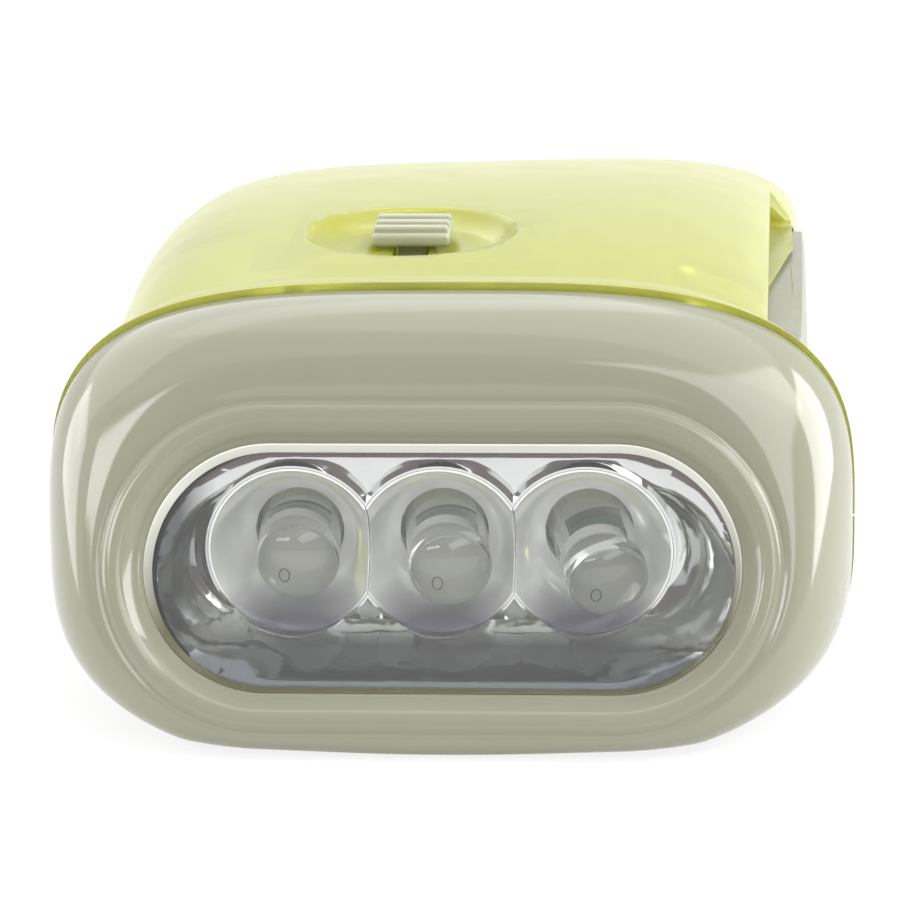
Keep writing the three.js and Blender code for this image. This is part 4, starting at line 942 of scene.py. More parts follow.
def parting_side(name, upper, gap):
    """The space above or below the parting line."""
    level = FAR if upper else -FAR
    outline = [
        (SEAM_Y - OVERRUN, WIDEST_HEIGHT + gap),
        (REAR_Y + OVERRUN, REAR_WIDEST_HEIGHT + gap),
        (REAR_Y + OVERRUN, level),
        (SEAM_Y - OVERRUN, level),
    ]
    return across(name, outline, -FAR, FAR)


def lever_step(wall):
    """The space over the lever, where the side of the roof is stepped in."""
    front = LEVER_STEP_Y - wall
    rear = LEVER_REAR_Y + LEVER_GAP + wall
    outline = [(y, lever_top(y) + LEVER_GAP - wall) for y in (front, PIVOT_Y, rear)]
    outline += [(rear, BODY_HEIGHT + OVERRUN), (front, BODY_HEIGHT + OVERRUN)]
    return across("step", outline, LEVER_STEP_X - wall, FAR)


def whole_form(sizes, inset=0.0):
    """The form of the housing before the lever's step is cut from it."""
    return skin("form", housing_rings(inset, 0, sizes.around, sizes.along))


def outer_form(sizes, inset=0.0):
    """The form of the housing with its stepped side."""
    return combine(whole_form(sizes, inset), [lever_step(inset)], "DIFFERENCE")


def inner_form(sizes, lap=0.0):
    """The hollow of the housing, or one that laps into its walls."""
    inset = SHELL_WALL - lap
    rings = housing_rings(inset, FLOOR_THICKNESS - lap, sizes.around // 2, sizes.along // 2, OVERRUN)
    return combine(skin("hollow", rings), [lever_step(inset)], "DIFFERENCE")


def fittings(sizes, name):
    """The pillars, seats, posts and ribs inside a packed half shell, copied from it."""
    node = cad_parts[name]
    data = node.data.copy()
    data.transform(node.matrix_world)
    mesh = bmesh.new()
    mesh.from_mesh(data)
    bmesh.ops.remove_doubles(mesh, verts=mesh.verts, dist=WELD * MM)
    bpy.data.meshes.remove(data)
    return combine(made("fittings", mesh), [inner_form(sizes, FITTING_LAP)], "INTERSECT")


def half_shell(sizes, name, node, side, pad, pivot_span, cuts):
    """One half of the housing, with its bosses, packed fittings, lever slot and other cuts."""
    shell = combine(outer_form(sizes), [inner_form(sizes)], "DIFFERENCE")
    bosses = [pad, upright("boss", PIVOT_BOSS, *pivot_span, PIVOT_X, PIVOT_Y, BOSS_FACETS)]
    for x, y, radius in [*((x, y, SCREW_BOSS) for x, y, top in CASE_SCREWS), (STRAP_X, STRAP_Y, STRAP_BOSS)]:
        bosses.append(upright("boss", radius, 0, BODY_HEIGHT, x, y, BOSS_FACETS))
    bosses = [combine(boss, [outer_form(sizes, BOSS_INSET)], "INTERSECT") for boss in bosses]
    combine(shell, [*bosses, fittings(sizes, node)], "UNION")
    combine(shell, [side], "INTERSECT")
    combine(shell, lever_slot(), "DIFFERENCE")
    strap_hole = upright("strap_hole", STRAP_HOLE, -OVERRUN, BODY_HEIGHT, STRAP_X, STRAP_Y, WELL_FACETS)
    combine(shell, [strap_hole, *cuts], "DIFFERENCE")
    drop_flaps(shell)
    shell.name = name
    dress(shell, yellow_plastic(sizes), "housing", [node])


class TORCH_OT_roof(bpy.types.Operator):
    """Makes the upper half of the yellow housing, with the switch dish and its inner bosses."""

    bl_idname = "torch.roof"
    bl_label = "Upper housing"

    def execute(self, context):
        sizes = context.scene.torch_sizes
        dish_y = SWITCH_Y - KNOB_TRAVEL / 2
        wall = SHELL_WALL / 2
        pad = block("dish_pad", SWITCH_X, dish_y, DISH_HALF_WIDTH + wall, DISH_HALF_LENGTH + wall,
                    DISH_FLOOR - SHELL_WALL, BODY_HEIGHT + OVERRUN)
        dish = turned("dish", [(r, z * DISH_DEPTH) for r, z in DISH_PROFILE], 0, 0, DISH_FACETS)
        dish.data.transform(Matrix.Translation(point(SWITCH_X, dish_y, DISH_FLOOR))
                            @ Matrix.Diagonal((DISH_HALF_WIDTH, DISH_HALF_LENGTH, 1, 1)))
        gap = STEM / 2 + SEAT_GAP
        cuts = [
            dish,
            block("switch_slot", SWITCH_X, dish_y, gap, gap + KNOB_TRAVEL / 2,
                  BOARD_TOP, BODY_HEIGHT + OVERRUN),
            upright("pin_hole", PIN_RADIUS + PIN_GAP, LEVER_FRONT_TOP, PIN_TOP, PIVOT_X, PIVOT_Y, PIN_FACETS),
        ]
        for x, y, top in CASE_SCREWS:
            cuts.append(upright("screw_hole", SCREW_HOLE, 0, top + SEAT_GAP, x, y, SCREW_HOLE_FACETS))
        half_shell(sizes, "housing_roof", "shell_top", parting_side("upper_side", True, PARTING_GAP), pad,
                   (LEVER_FRONT_TOP + SEAT_GAP, BODY_HEIGHT), cuts)
        return {"FINISHED"}


class TORCH_OT_base(bpy.types.Operator):
    """Makes the lower half of the yellow housing, with its screw wells and lock well."""

    bl_idname = "torch.base"
    bl_label = "Lower housing"

    def execute(self, context):
        sizes = context.scene.torch_sizes
        lock_y = LOCK_Y - LOCK_TRAVEL / 2
        gap = LOCK_PAD / 2 + SEAT_GAP
        cuts = [block("lock_well", LOCK_X, lock_y, gap, gap + LOCK_TRAVEL / 2, -OVERRUN, LOCK_WELL)]
        well_top = SCREW_HEAD_HEIGHT + SCREW_SINK
        for x, y, top in CASE_SCREWS:
            cuts.append(upright("screw_hole", SCREW_HOLE, -OVERRUN, BODY_HEIGHT, x, y, SCREW_HOLE_FACETS))
            cuts.append(upright("head_well", SCREW_HEAD + SEAT_GAP, -OVERRUN, well_top, x, y, WELL_FACETS))
        pad = block("lock_floor", LOCK_X, lock_y, LOCK_PAD, LOCK_PAD, 0, LOCK_FLOOR)
        half_shell(sizes, "housing_base", "shell_bottom", parting_side("lower_side", False, 0), pad,
                   (0, LEVER_LOW - SEAT_GAP), cuts)
        return {"FINISHED"}


class TORCH_OT_window(bpy.types.Operator):
    """Makes the clear window behind the lip."""

    bl_idname = "torch.window"
    bl_label = "Window"

    def execute(self, context):
        count = context.scene.torch_sizes.around
        back = LENS_BACK - LENS_EDGE
        front = LENS_FRONT + LENS_EDGE
        rings = []
        for inset, depth in ((LENS_EDGE, LENS_BACK), (0, back), (0, front), (LENS_EDGE, LENS_FRONT)):
            rings.append(window_ring(LENS_RIM - inset, -depth, count))
        dress(skin("window_plate", rings), clear_plastic(), "housing", ["lens"])
        return {"FINISHED"}


def cup_profile(grow, front, lead=0.0):
    """Radii and places along the torch of a cup, from its back to its mouth."""
    hole = LED_RADIUS + LED_HOLE_GAP
    found = [(hole + grow, BOWL_BACK_Y + lead)]
    for i in range(CUP_STEPS + 1):
        share = i / CUP_STEPS
        reach = between(hole, CUP_RADIUS, math.sqrt(share))
        found.append((reach + grow, BOWL_BACK_Y - BOWL_WALL - CUP_DEPTH * share))
    found.append((CUP_RADIUS + grow, front))
    return found


class TORCH_OT_bowl(bpy.types.Operator):
    """Makes the bright bowl, with a thin-rimmed cup round each diode."""

    bl_idname = "torch.bowl"
    bl_label = "Bowl"

    def execute(self, context):
        count = context.scene.torch_sizes.around
        rim_front = LENS_BACK + SEAT_GAP
        floor_y = BOWL_BACK_Y - BOWL_WALL - CUP_DEPTH * BOWL_FLOOR_SHARE
        back_length = LENS_HALF_LENGTH - BOWL_TAPER - BOWL_WALL
        body = skin("bowl", [
            standing_ring(back_length, BOWL_HALF_HEIGHT, BOWL_BACK_Y, BOWL_HEIGHT, count),
            window_ring(LENS_RIM - MOUTH_INSET, -rim_front - BOWL_RIM, count),
            window_ring(LENS_RIM, -rim_front - BOWL_RIM, count),
            window_ring(LENS_RIM, -rim_front, count),
        ])
        # The hollow is a trough: its flat floor bends into walls that lean out to the mouth
        floor = standing_ring(back_length - BOWL_WALL, BOWL_FLOOR_HALF_HEIGHT, floor_y, BOWL_HEIGHT, count)
        mouth = window_ring(-MOUTH_INSET, -rim_front, count)
        rings = []
        for i in range(BOWL_STEPS + 1):
            spread, along = knee(i / BOWL_STEPS, BOWL_SPREAD_SHARE, BOWL_BEND_SHARE)
            rings.append([
                Vector((between(a.x, b.x, spread), between(a.y, b.y, along), between(a.z, b.z, spread)))
                for a, b in zip(floor, mouth)
            ])
        rings.append(window_ring(-MOUTH_INSET, OVERRUN - rim_front, count))
        combine(body, [skin("bowl_hollow", rings)], "DIFFERENCE")
        mouth_y = BOWL_BACK_Y - BOWL_WALL - CUP_DEPTH
        rim = [(CUP_RADIUS + CUP_RIM, floor_y + CUP_RIM), (CUP_RADIUS + CUP_RIM / 2, mouth_y)]
        combine(body, [lying("cup_rim", rim, x, CUP_FACETS) for x in LED_XS], "UNION")
        cup = cup_profile(0, mouth_y - CUP_DEPTH, OVERRUN)
        combine(body, [lying("cup", cup, x, CUP_FACETS) for x in LED_XS], "DIFFERENCE")
        body.name = "bright_bowl"
        dress(body, bowl_metal(), "housing", ["reflector"], angle=40)
        self.liners(mouth_y)
        return {"FINISHED"}

    def liners(self, mouth_y):
        """The bright skins of the three cups, each open where its neighbour cuts into it."""
        material = cup_metal()
        space = cup_profile(-LINER_GAP - LINER_WALL, mouth_y - OVERRUN, OVERRUN)
        neighbour = cup_profile(0, mouth_y - OVERRUN, OVERRUN)
        for number, x in enumerate(LED_XS, start=1):
            liner = lying(f"cup_liner_{number}", cup_profile(-LINER_GAP, mouth_y), x, CUP_FACETS)
            tools = [lying("space", space, x, CUP_FACETS)]
            tools += [lying("neighbour", neighbour, other, CUP_FACETS) for other in LED_XS if other != x]
            combine(liner, tools, "DIFFERENCE")
            dress(liner, material, "housing", angle=40)


class TORCH_OT_diodes(bpy.types.Operator):
    """Makes the three clear diodes, each with its lead frame, frosted face and bond wire inside."""

    bl_idname = "torch.diodes"
    bl_label = "Diodes"

    def execute(self, context):
        epoxy = clear_epoxy()
        tinned = finish("tinned_leads", (0.80, 0.80, 0.78), (0.72, 0.72, 0.70), 0.3, Metallic=0.4)
        frosted = finish("frosted_face", (0.40, 0.405, 0.35), (0.32, 0.325, 0.29), 0.4, mottle=700)
        fine = finish("bond_wire", (0.10, 0.09, 0.10), (0.14, 0.12, 0.10), 0.4, Metallic=0.5)
        places = zip(LED_XS, LED_NODS, LED_TURNS, LED_SLIPS)
        for number, (x, nod, turn, slip) in enumerate(places, start=1):
            back = LED_BACK_Y + slip
            middle = Matrix.Translation(point(x, BOWL_BACK_Y, BOWL_HEIGHT))
            lean = (middle @ Matrix.Rotation(math.radians(turn), 4, "Z")
                    @ Matrix.Rotation(math.radians(nod), 4, "X") @ middle.inverted())
            body = diode_body(number, x, back)
            face = diode_face(number, x, back)
            wire = diode_wire(number, x, back)
            for part in (body, face, wire):
                part.data.transform(lean)
            dress(body, epoxy, "housing", [f"led_{number}"], angle=50)
            dress(diode_frame(number, x, back, lean), tinned, "housing")
            dress(face, frosted, "housing")
            dress(wire, fine, "housing")
        return {"FINISHED"}


def diode_body(number, x, back):
    """The domed clear body with its flange."""
    tip = back - LED_LENGTH
    profile = [(0, tip)]
    for i in range(1, LED_DOME_STEPS + 1):
        turn = math.pi / 2 * i / LED_DOME_STEPS
        profile.append((LED_RADIUS * math.sin(turn), tip + LED_DOME * (1 - math.cos(turn))))
    profile += [
        (LED_RADIUS, back - LED_FLANGE_THICKNESS), (LED_FLANGE, back - LED_FLANGE_THICKNESS),
        (LED_FLANGE, back), (0, back),
    ]
    return lying(f"diode_body_{number}", profile, x, LED_FACETS)


def diode_frame(number, x, back, lean):
    """The cup and the post of a diode on their leads, joined by a foot."""
    half = LED_LEAD / 2
    seat = back - ANVIL_REACH

    def leg(name, side, front, rear):
        middle = x + side * LED_LEAD_PITCH / 2
        return slab(name, (middle - half, front, BOWL_HEIGHT - half),
                    (middle + half, rear, BOWL_HEIGHT + half))

    core = leg("anvil_post", -1, seat, back)
    profile = [(radius, seat - rise) for radius, rise in ANVIL_PROFILE]
    anvil = lying("anvil", profile, x - ANVIL_SHIFT, ROUND_FACETS)
    post = leg("post", 1, seat - POST_RISE, back)
    foot = lying("foot", [(FOOT_RADIUS, back - rise) for rise in FOOT_SPAN], x, ROUND_FACETS)
    for part in (core, anvil, post, foot):
        part.data.transform(lean)
    leads = [
        leg("lead", side, back - LED_FLANGE_THICKNESS / 2, LED_BACK_Y + LED_LEAD_LENGTH)
        for side in (-1, 1)
    ]
    combine(core, [anvil, post, foot, *leads], "UNION")
    core.name = f"diode_frame_{number}"
    return core


def diode_face(number, x, back):
    """The frosted disc that the dome spreads over its whole width."""
    front = back - LED_LENGTH + FACE_DEPTH
    profile = [(radius, front + depth) for radius, depth in FACE_PROFILE]
    return lying(f"diode_face_{number}", profile, x, LED_FACETS)


def diode_wire(number, x, back):
    """The fine bond wire, a small open loop in front of the disc."""
    front = back - LED_LENGTH + FACE_DEPTH - WIRE_RADIUS
    rings = []
    for out_x, out_z in circle(1, WIRE_STEPS):
        rings.append([
            Vector((x + WIRE_X + out_x * (WIRE_WIDE + reach), front - depth,
                    BOWL_HEIGHT + WIRE_Z + out_z * (WIRE_HIGH + reach)))
            for reach, depth in circle(WIRE_RADIUS, WIRE_FACETS)
        ])
    return skin(f"diode_wire_{number}", rings, ring_shaped=True)


class TORCH_OT_lever(bpy.types.Operator):
    """Makes the hollow grey squeeze lever on its round hub."""

    bl_idname = "torch.lever"
    bl_label = "Squeeze lever"

    def execute(self, context):
        sizes = context.scene.torch_sizes

        def cropped(piece, *tools, inset=-LEVER_PROUD):
            return combine(piece, [*tools, whole_form(sizes, inset)], "INTERSECT")

        def hub(low, high):
            return cropped(upright("hub", LEVER_HUB, low, high, PIVOT_X, PIVOT_Y, HUB_FACETS))

        bar = across("bar", lever_outline(0), LEVER_INNER_X, FAR)
        lever = cropped(bar, behind_pivot("behind"))
        combine(lever, [hub(LEVER_LOW, LEVER_FRONT_TOP)], "UNION")
        soften(lever, LEVER_EDGE, LEVER_EDGE_ANGLE, 3)
        hollow = across("hollow", lever_outline(-LEVER_FLANGE), LEVER_INNER_X - OVERRUN, FAR)
        cropped(hollow, behind_pivot("behind"), inset=LEVER_WALL - LEVER_PROUD)
        hub_space = upright("hub_space", HUB_HOLLOW, HUB_LOW_TOP, HUB_HIGH_LOW,
                            PIVOT_X, PIVOT_Y, ROUND_FACETS)
        mouth = slab("hub_mouth", (PIVOT_X - 2 * LEVER_HUB, PIVOT_Y - HUB_HOLLOW, HUB_LOW_TOP),
                     (PIVOT_X, PIVOT_Y + 2 * LEVER_HUB, HUB_HIGH_LOW))
        combine(lever, [hollow, combine(hub_space, [mouth], "UNION")], "DIFFERENCE")
        extras = [hub(LEVER_LOW + RIB_LAP, HUB_LOW_TOP), hub(HUB_HIGH_LOW, LEVER_FRONT_TOP - RIB_LAP)]
        for share in RIB_SHARES:
            y = PIVOT_Y + share * LEVER_REACH
            rib = slab("rib", (LEVER_INNER_X, y - RIB / 2, LEVER_LOW), (FAR, y + RIB / 2, LEVER_FRONT_TOP))
            inside = across("bar_inside", lever_outline(-RIB_LAP), LEVER_INNER_X, FAR)
            extras.append(cropped(rib, inside, inset=RIB_DEPTH))
        extras.append(slab("catch", (LEVER_INNER_X, LEVER_REAR_Y - LEVER_FLANGE / 2, CATCH_LOW),
                           (LEVER_INNER_X + CATCH_THICKNESS, LEVER_REAR_Y + CATCH_LENGTH, CATCH_HIGH)))
        combine(lever, extras, "UNION")
        pin_hole = upright("pin_hole", PIN_RADIUS + PIN_GAP, 0, BODY_HEIGHT, PIVOT_X, PIVOT_Y, PIN_FACETS)
        combine(lever, [pin_hole], "DIFFERENCE")
        lever.name = "lever_grip"
        dress(lever, satin_grey(sizes), "lever", ["squeeze_lever"])
        return {"FINISHED"}


class TORCH_OT_knob(bpy.types.Operator):
    """Makes the ribbed slide switch knob in its dish."""

    bl_idname = "torch.knob"
    bl_label = "Switch knob"

    def execute(self, context):
        sizes = context.scene.torch_sizes
        low = DISH_FLOOR + SEAT_GAP
        lap = low + KNOB_EDGE
        knob = block("switch_cap", SWITCH_X, SWITCH_Y, KNOB_WIDTH / 2, KNOB_LENGTH / 2,
                     low, low + KNOB_HEIGHT)
        soften(knob, KNOB_EDGE, segments=3)
        tools = [block("stem", SWITCH_X, SWITCH_Y, STEM / 2, STEM / 2, BOARD_TOP + STEM_GAP, lap)]
        for i in range(KNOB_RIBS):
            y = SWITCH_Y - KNOB_LENGTH / 2 + KNOB_LENGTH / KNOB_RIBS * (i + 0.5)
            rib = block("rib", SWITCH_X, y, KNOB_WIDTH / 2 - KNOB_RIB_INSET, KNOB_RIB / 2,
                        lap, low + KNOB_HEIGHT + KNOB_RIB_RISE)
            tools.append(soften(rib, KNOB_RIB_EDGE, segments=3))
        combine(knob, tools, "UNION")
        dress(knob, pale_grey(sizes), "knob", ["switch_knob"])
        return {"FINISHED"}


def screw_tree(material):
    """Nodes that set a threaded pan head screw with a cross recess on each point."""
    tree = bpy.data.node_groups.new("screws", "GeometryNodeTree")
    tree.interface.new_socket("Geometry", in_out="INPUT", socket_type="NodeSocketGeometry")
    for name in SCREW_INPUTS:
        tree.interface.new_socket(name, in_out="INPUT", socket_type="NodeSocketFloat")
    tree.interface.new_socket("Geometry", in_out="OUTPUT", socket_type="NodeSocketGeometry")
    given = tree.nodes.new("NodeGroupInput").outputs

    def node(kind, inputs, **settings):
        return add(tree, kind, inputs, **settings)[0]

    def times(value, share):
        return maths(tree, "MULTIPLY", value, share)

    def plus(value, more):
        return maths(tree, "ADD", value, more)

    def vector(x, y, z):
        return node("ShaderNodeCombineXYZ", {"X": x, "Y": y, "Z": z})

    def raised(geometry, z):
        return node("GeometryNodeTransform", {"Geometry": geometry, "Translation": vector(0, 0, z)})

    length = given["Length"]
    radius = given["Head radius"]
    height = given["Head height"]
    core = times(given["Shank radius"], SCREW_CORE_SHARE)
    ridge = times(given["Shank radius"], 1 - SCREW_CORE_SHARE)
    rim = times(height, SCREW_RIM_SHARE)
    reach = times(length, SCREW_THREAD_SHARE)

    def cone(top, bottom, depth):
        return node("GeometryNodeMeshCone", {
            "Vertices": SCREW_FACETS, "Radius Top": top, "Radius Bottom": bottom, "Depth": depth,
        })

    path = node("GeometryNodeCurveSpiral", {
        "Resolution": 20, "Rotations": maths(tree, "DIVIDE", reach, given["Pitch"]),
        "Start Radius": core, "End Radius": core, "Height": reach,
    })
    ring = node("GeometryNodeCurvePrimitiveCircle", {"Resolution": 6, "Radius": ridge})
    thread = node("GeometryNodeCurveToMesh", {"Curve": path, "Profile Curve": ring, "Fill Caps": True})
    whole = node("GeometryNodeMeshBoolean", {1: [
        cone(core, core, plus(length, rim)),
        raised(cone(radius, radius, rim), length),
        raised(cone(times(radius, SCREW_CROWN_SHARE), radius, rim), plus(length, rim)),
        raised(thread, times(length, (1 - SCREW_THREAD_SHARE) / 2)),
    ]}, operation="UNION", solver="MANIFOLD")
    long = times(radius, 2 * SCREW_RECESS_REACH)
    thin = times(radius, 2 * SCREW_RECESS_WIDTH)
    deep = times(height, 2 * SCREW_RECESS_DEPTH)
    top = plus(length, height)
    arms = [
        raised(node("GeometryNodeMeshCube", {"Size": vector(*size, deep)}), top)
        for size in ((long, thin), (thin, long))
    ]
    cut = node("GeometryNodeMeshBoolean", {0: whole, 1: arms}, operation="DIFFERENCE", solver="MANIFOLD")
    placed = node("GeometryNodeInstanceOnPoints", {
        "Points": given["Geometry"], "Instance": cut, "Rotation": vector(given["Turn"], 0, 0),
    })
    real = node("GeometryNodeRealizeInstances", {"Geometry": placed})
    done = node("GeometryNodeSetMaterial", {"Geometry": real, "Material": material})
    tree.links.new(done, tree.nodes.new("NodeGroupOutput").inputs["Geometry"])
    return tree


class TORCH_OT_screws(bpy.types.Operator):
    """Makes the screws of the housing and of the gear plate."""

    bl_idname = "torch.screws"
    bl_label = "Screws"

    def execute(self, context):
        steel = bright_metal("screw_steel", (0.58, 0.58, 0.58), 0.26)
        tree = screw_tree(steel)
        head = SCREW_HEAD_HEIGHT - SEAT_GAP
        front, *rear = CASE_SCREWS
        case = (("case_fastener_front", [front], ["case_screw_1"]),
                ("case_fasteners_rear", rear, ["case_screw_2", "case_screw_3"]))
        for name, spots, nodes in case:
            length = spots[0][2] - SCREW_SINK - head
            sizes = (SCREW_SHANK, SCREW_HEAD, head, length, SCREW_PITCH, math.pi)
            self.group(name, tree, steel, spots, nodes, sizes)
        spots = []
        for angle in PLATE_SCREW_ANGLES:
            turn = math.radians(angle)
            spots.append((STEP_GEAR_X + PLATE_SCREW_REACH * math.cos(turn),
                          STEP_GEAR_Y + PLATE_SCREW_REACH * math.sin(turn),
                          PLATE_HIGH + PARTING_GAP - PLATE_SCREW_LENGTH))
        nodes = ["plate_screw_1", "plate_screw_2", "plate_screw_3"]
        sizes = (PLATE_SCREW_SHANK, PLATE_SCREW_HEAD, PLATE_SCREW_HEAD_HEIGHT,
                 PLATE_SCREW_LENGTH, PLATE_SCREW_PITCH, 0)
        self.group("plate_fasteners", tree, steel, spots, nodes, sizes)
        return {"FINISHED"}

    def group(self, name, tree, material, spots, nodes, sizes):
        """One piece with a screw on each spot, given the tree's sizes in the order of its inputs."""
        data = bpy.data.meshes.new(name)
        data.from_pydata([point(*spot) for spot in spots], [], [])
        piece = bpy.data.objects.new(name, data)
        bpy.context.scene.collection.objects.link(piece)
        modifier = piece.modifiers.new("screws", "NODES")
        modifier.node_group = tree
        given = dict(zip(SCREW_INPUTS, sizes))
        for item in tree.interface.items_tree:
            if item.name in given:
                modifier[item.identifier] = given[item.name] * (1 if item.name == "Turn" else MM)
        dress(settle(piece), material, "housing", nodes)


class TORCH_OT_inside(bpy.types.Operator):
    """Gives the gears, dynamo, boards, cell and wires of the frame their finishes."""

    bl_idname = "torch.inside"
    bl_label = "Inner pieces"

    def execute(self, context):
        copper = bright_metal("copper", (0.62, 0.25, 0.10), 0.3)
        black = finish("black_moulding", (0.012, 0.012, 0.012), (0.02, 0.02, 0.02), 0.45,
                       grain=5000, bump=0.05)
        finishes = (
            (bright_metal("bright_steel"),
             "stator_lower stator_upper pivot_pin step_gear_pin rotor_shaft gear_plate"
             " switch_body cell_tab_left cell_tab_right return_spring"),
            (finish("gear_plastic", (0.80, 0.79, 0.74), (0.75, 0.74, 0.68), 0.4, grain=4000, bump=0.03),
             "sector_gear step_gear rotor_pinion"),
            (finish("board_lacquer", (0.02, 0.13, 0.045), (0.035, 0.19, 0.07), 0.35, mottle=1500),
             "led_board control_board"),
            (finish("magnet", (0.03, 0.03, 0.032), (0.05, 0.05, 0.05), 0.5, Metallic=0.4), "magnet_rotor"),
            (finish("cell_sleeve", (0.03, 0.22, 0.06), (0.04, 0.26, 0.08), 0.3), "cell_pack"),
            (finish("red_sleeve", (0.40, 0.01, 0.01), (0.36, 0.01, 0.01), 0.45),
             "led_wire_red cell_wire_red"),
            (black, "coil_bobbin capacitor rectifier_1 rectifier_2 rectifier_3 rectifier_4 led_wire_black"),
            (copper, "coil_winding coil_wire"),
            (pale_grey(context.scene.torch_sizes), "lock_slider"),
        )
        for material, names in finishes:
            for name in names.split():
                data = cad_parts[name].data
                data.materials.clear()
                data.materials.append(material)
        return {"FINISHED"}


def seeing_rays(tree):
    """1 for the rays that see the room straight, mirrored or through clear pieces, and 0 for the rest."""
    rays = add(tree, "ShaderNodeLightPath", {})
    seen = maths(tree, "MAXIMUM", rays["Is Camera Ray"], rays["Is Glossy Ray"])
    return maths(tree, "MAXIMUM", seen, rays["Is Transmission Ray"])


def direction(turn, rise):
    """A unit vector, turned to the right of the torch's light and raised."""
    return Vector((math.sin(turn) * math.cos(rise), -math.cos(turn) * math.cos(rise), math.sin(rise)))


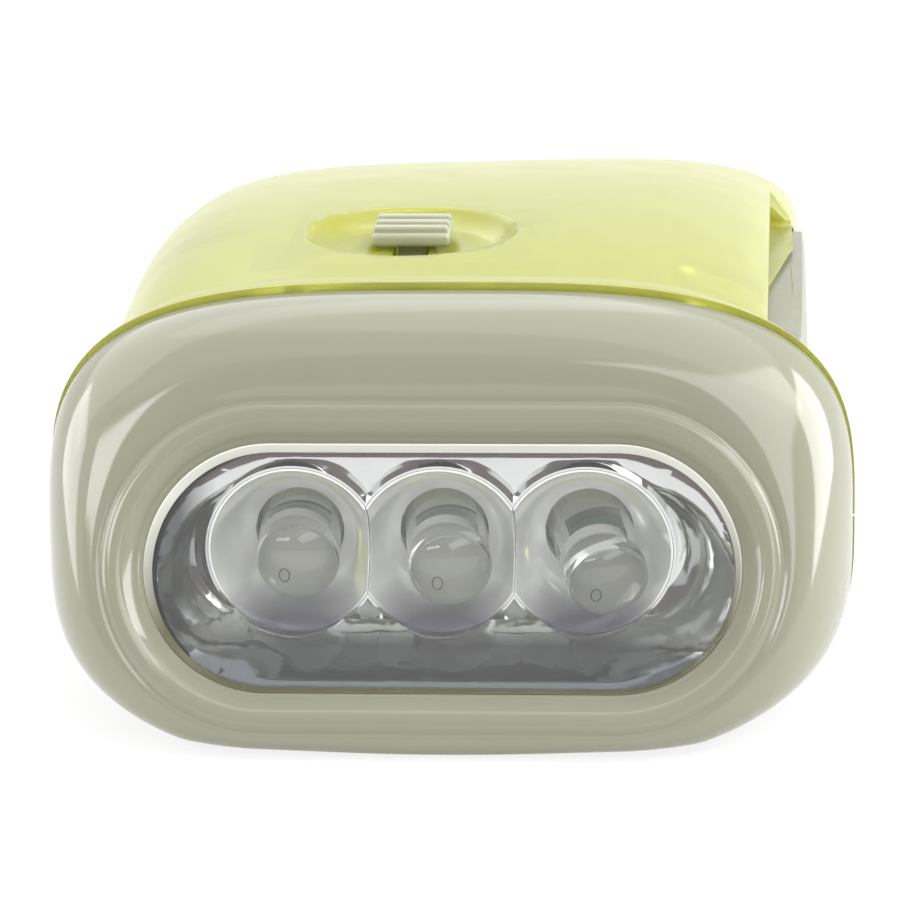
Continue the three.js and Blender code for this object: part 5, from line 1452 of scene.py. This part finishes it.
class TORCH_OT_stage(bpy.types.Operator):
    """Sets the floor, the soft lamps, the pale surroundings and the camera."""

    bl_idname = "torch.stage"
    bl_label = "Stage"

    def execute(self, context):
        scene = context.scene
        scene.view_settings.view_transform = "Standard"
        self.camera(scene)
        self.world(scene)
        self.floor()
        for lamp in LAMPS:
            self.lamp(*lamp)
        self.canopy()
        return {"FINISHED"}

    def camera(self, scene):
        target = Vector((0, WINDOW_Y, WINDOW_HEIGHT))
        ahead = -direction(CAMERA_AZIMUTH, CAMERA_ELEVATION)
        right = Vector((math.cos(CAMERA_AZIMUTH), math.sin(CAMERA_AZIMUTH), 0))
        up = right.cross(ahead)
        image_right = right * math.cos(CAMERA_ROLL) - up * math.sin(CAMERA_ROLL)
        image_up = right * math.sin(CAMERA_ROLL) + up * math.cos(CAMERA_ROLL)
        place = target - ahead * CAMERA_DISTANCE
        pixel = CAMERA_DISTANCE / CAMERA_FOCUS_PIXELS
        aim = (target + image_right * (IMAGE_PIXELS / 2 - TARGET_PIXEL[0]) * pixel
               + image_up * (TARGET_PIXEL[1] - IMAGE_PIXELS / 2) * pixel)
        back = (place - aim).normalized()
        side = image_up.cross(back).normalized()
        top = back.cross(side)
        data = bpy.data.cameras.new("photograph")
        data.sensor_width = SENSOR_WIDTH
        data.lens = SENSOR_WIDTH * CAMERA_FOCUS_PIXELS / IMAGE_PIXELS
        data.clip_start = 0.01
        camera = bpy.data.objects.new("photograph", data)
        turn = Matrix((side, top, back)).transposed()
        camera.matrix_world = Matrix.Translation(place * MM) @ turn.to_4x4()
        scene.collection.objects.link(camera)
        scene.camera = camera

    def world(self, scene):
        world = bpy.data.worlds.new("pale_room")
        world.use_nodes = True
        tree = world.node_tree
        background = tree.nodes["Background"].inputs
        background["Color"].default_value = (1, 1, 1, 1)
        level = ranged(tree, seeing_rays(tree), {"To Min": ROOM_LEVEL, "To Max": 1})
        tree.links.new(level, background["Strength"])
        scene.world = world

    def floor(self):
        floor = slab("floor", (-FLOOR_HALF, -FLOOR_HALF, -FLOOR_DEPTH), (FLOOR_HALF, FLOOR_HALF, 0))
        material = bpy.data.materials.new("pale_floor")
        material.use_nodes = True
        tree = material.node_tree
        shader = tree.nodes["Principled BSDF"]
        shader.inputs["Base Color"].default_value = (0.9, 0.9, 0.9, 1)
        shader.inputs["Roughness"].default_value = 0.9
        share = ranged(tree, seeing_rays(tree), {"To Max": FLOOR_GLOW})
        glow = add(tree, "ShaderNodeEmission", {})["Emission"]
        mix = add(tree, "ShaderNodeMixShader", {"Fac": share, 1: shader.outputs["BSDF"], 2: glow})
        tree.links.new(mix["Shader"], tree.nodes["Material Output"].inputs["Surface"])
        floor.data.materials.append(material)

    def lamp(self, name, azimuth, elevation, roll, size, watts):
        """A soft lamp that faces the torch."""
        out = direction(math.radians(azimuth), math.radians(elevation))
        data = bpy.data.lights.new(name, "AREA")
        data.shape = "RECTANGLE"
        data.size, data.size_y = size
        data.energy = watts
        lamp = bpy.data.objects.new(name, data)
        lamp.location = (Vector((0, WINDOW_Y, WINDOW_HEIGHT)) + out * LAMP_DISTANCE) * MM
        facing = (-out).to_track_quat("-Z", "Y")
        lamp.rotation_euler = (facing @ Quaternion((0, 0, 1), math.radians(roll))).to_euler()
        bpy.context.scene.collection.objects.link(lamp)

    def canopy(self):
        """The dim room in front of the torch, which the bowl and the gloss reflect."""
        shares = [i / CANOPY_STEPS for i in range(CANOPY_STEPS + 1)]
        turns = [between(CANOPY_LEFT, CANOPY_RIGHT, share) for share in shares]
        rises = [between(CANOPY_LOW, CANOPY_HIGH, share) for share in shares]
        canopy = sheet("dim_room", *(
            [[direction(turn, rise) * radius for turn in turns] for rise in rises]
            for radius in (CANOPY_RADIUS, CANOPY_RADIUS + CANOPY_WALL)
        ))
        canopy.data.materials.append(finish("dim_room", (0, 0, 0), (0.01, 0.01, 0.01), 1, mottle=3,
                                            Emission_Color=(0.17, 0.125, 0.13, 1), Emission_Strength=1.0))
        canopy.visible_camera = False
        canopy.visible_diffuse = False
        canopy.visible_transmission = False
        canopy.visible_shadow = False


class TORCH_PT_panel(bpy.types.Panel):
    """Lists the pieces of the torch."""

    bl_idname = "TORCH_PT_panel"
    bl_label = "Torch"
    bl_space_type = "VIEW_3D"
    bl_region_type = "UI"
    bl_category = "Torch"

    def draw(self, context):
        sizes = context.scene.torch_sizes
        for name in ("around", "along", "yellow", "grey"):
            self.layout.prop(sizes, name)
        for maker in MAKERS:
            self.layout.operator(maker.bl_idname)


MAKERS = (
    TORCH_OT_stage,
    TORCH_OT_bezel,
    TORCH_OT_roof,
    TORCH_OT_base,
    TORCH_OT_window,
    TORCH_OT_bowl,
    TORCH_OT_diodes,
    TORCH_OT_lever,
    TORCH_OT_knob,
    TORCH_OT_screws,
    TORCH_OT_inside,
)
CLASSES = (TORCH_sizes, *MAKERS, TORCH_PT_panel)


def register():
    for cls in CLASSES:
        bpy.utils.register_class(cls)
    bpy.types.Scene.torch_sizes = PointerProperty(type=TORCH_sizes)


def unregister():
    del bpy.types.Scene.torch_sizes
    for cls in reversed(CLASSES):
        bpy.utils.unregister_class(cls)


def main():
    register()
    for maker in MAKERS:
        group, action = maker.bl_idname.split(".")
        getattr(getattr(bpy.ops, group), action)()


if __name__ == "__main__":
    main()
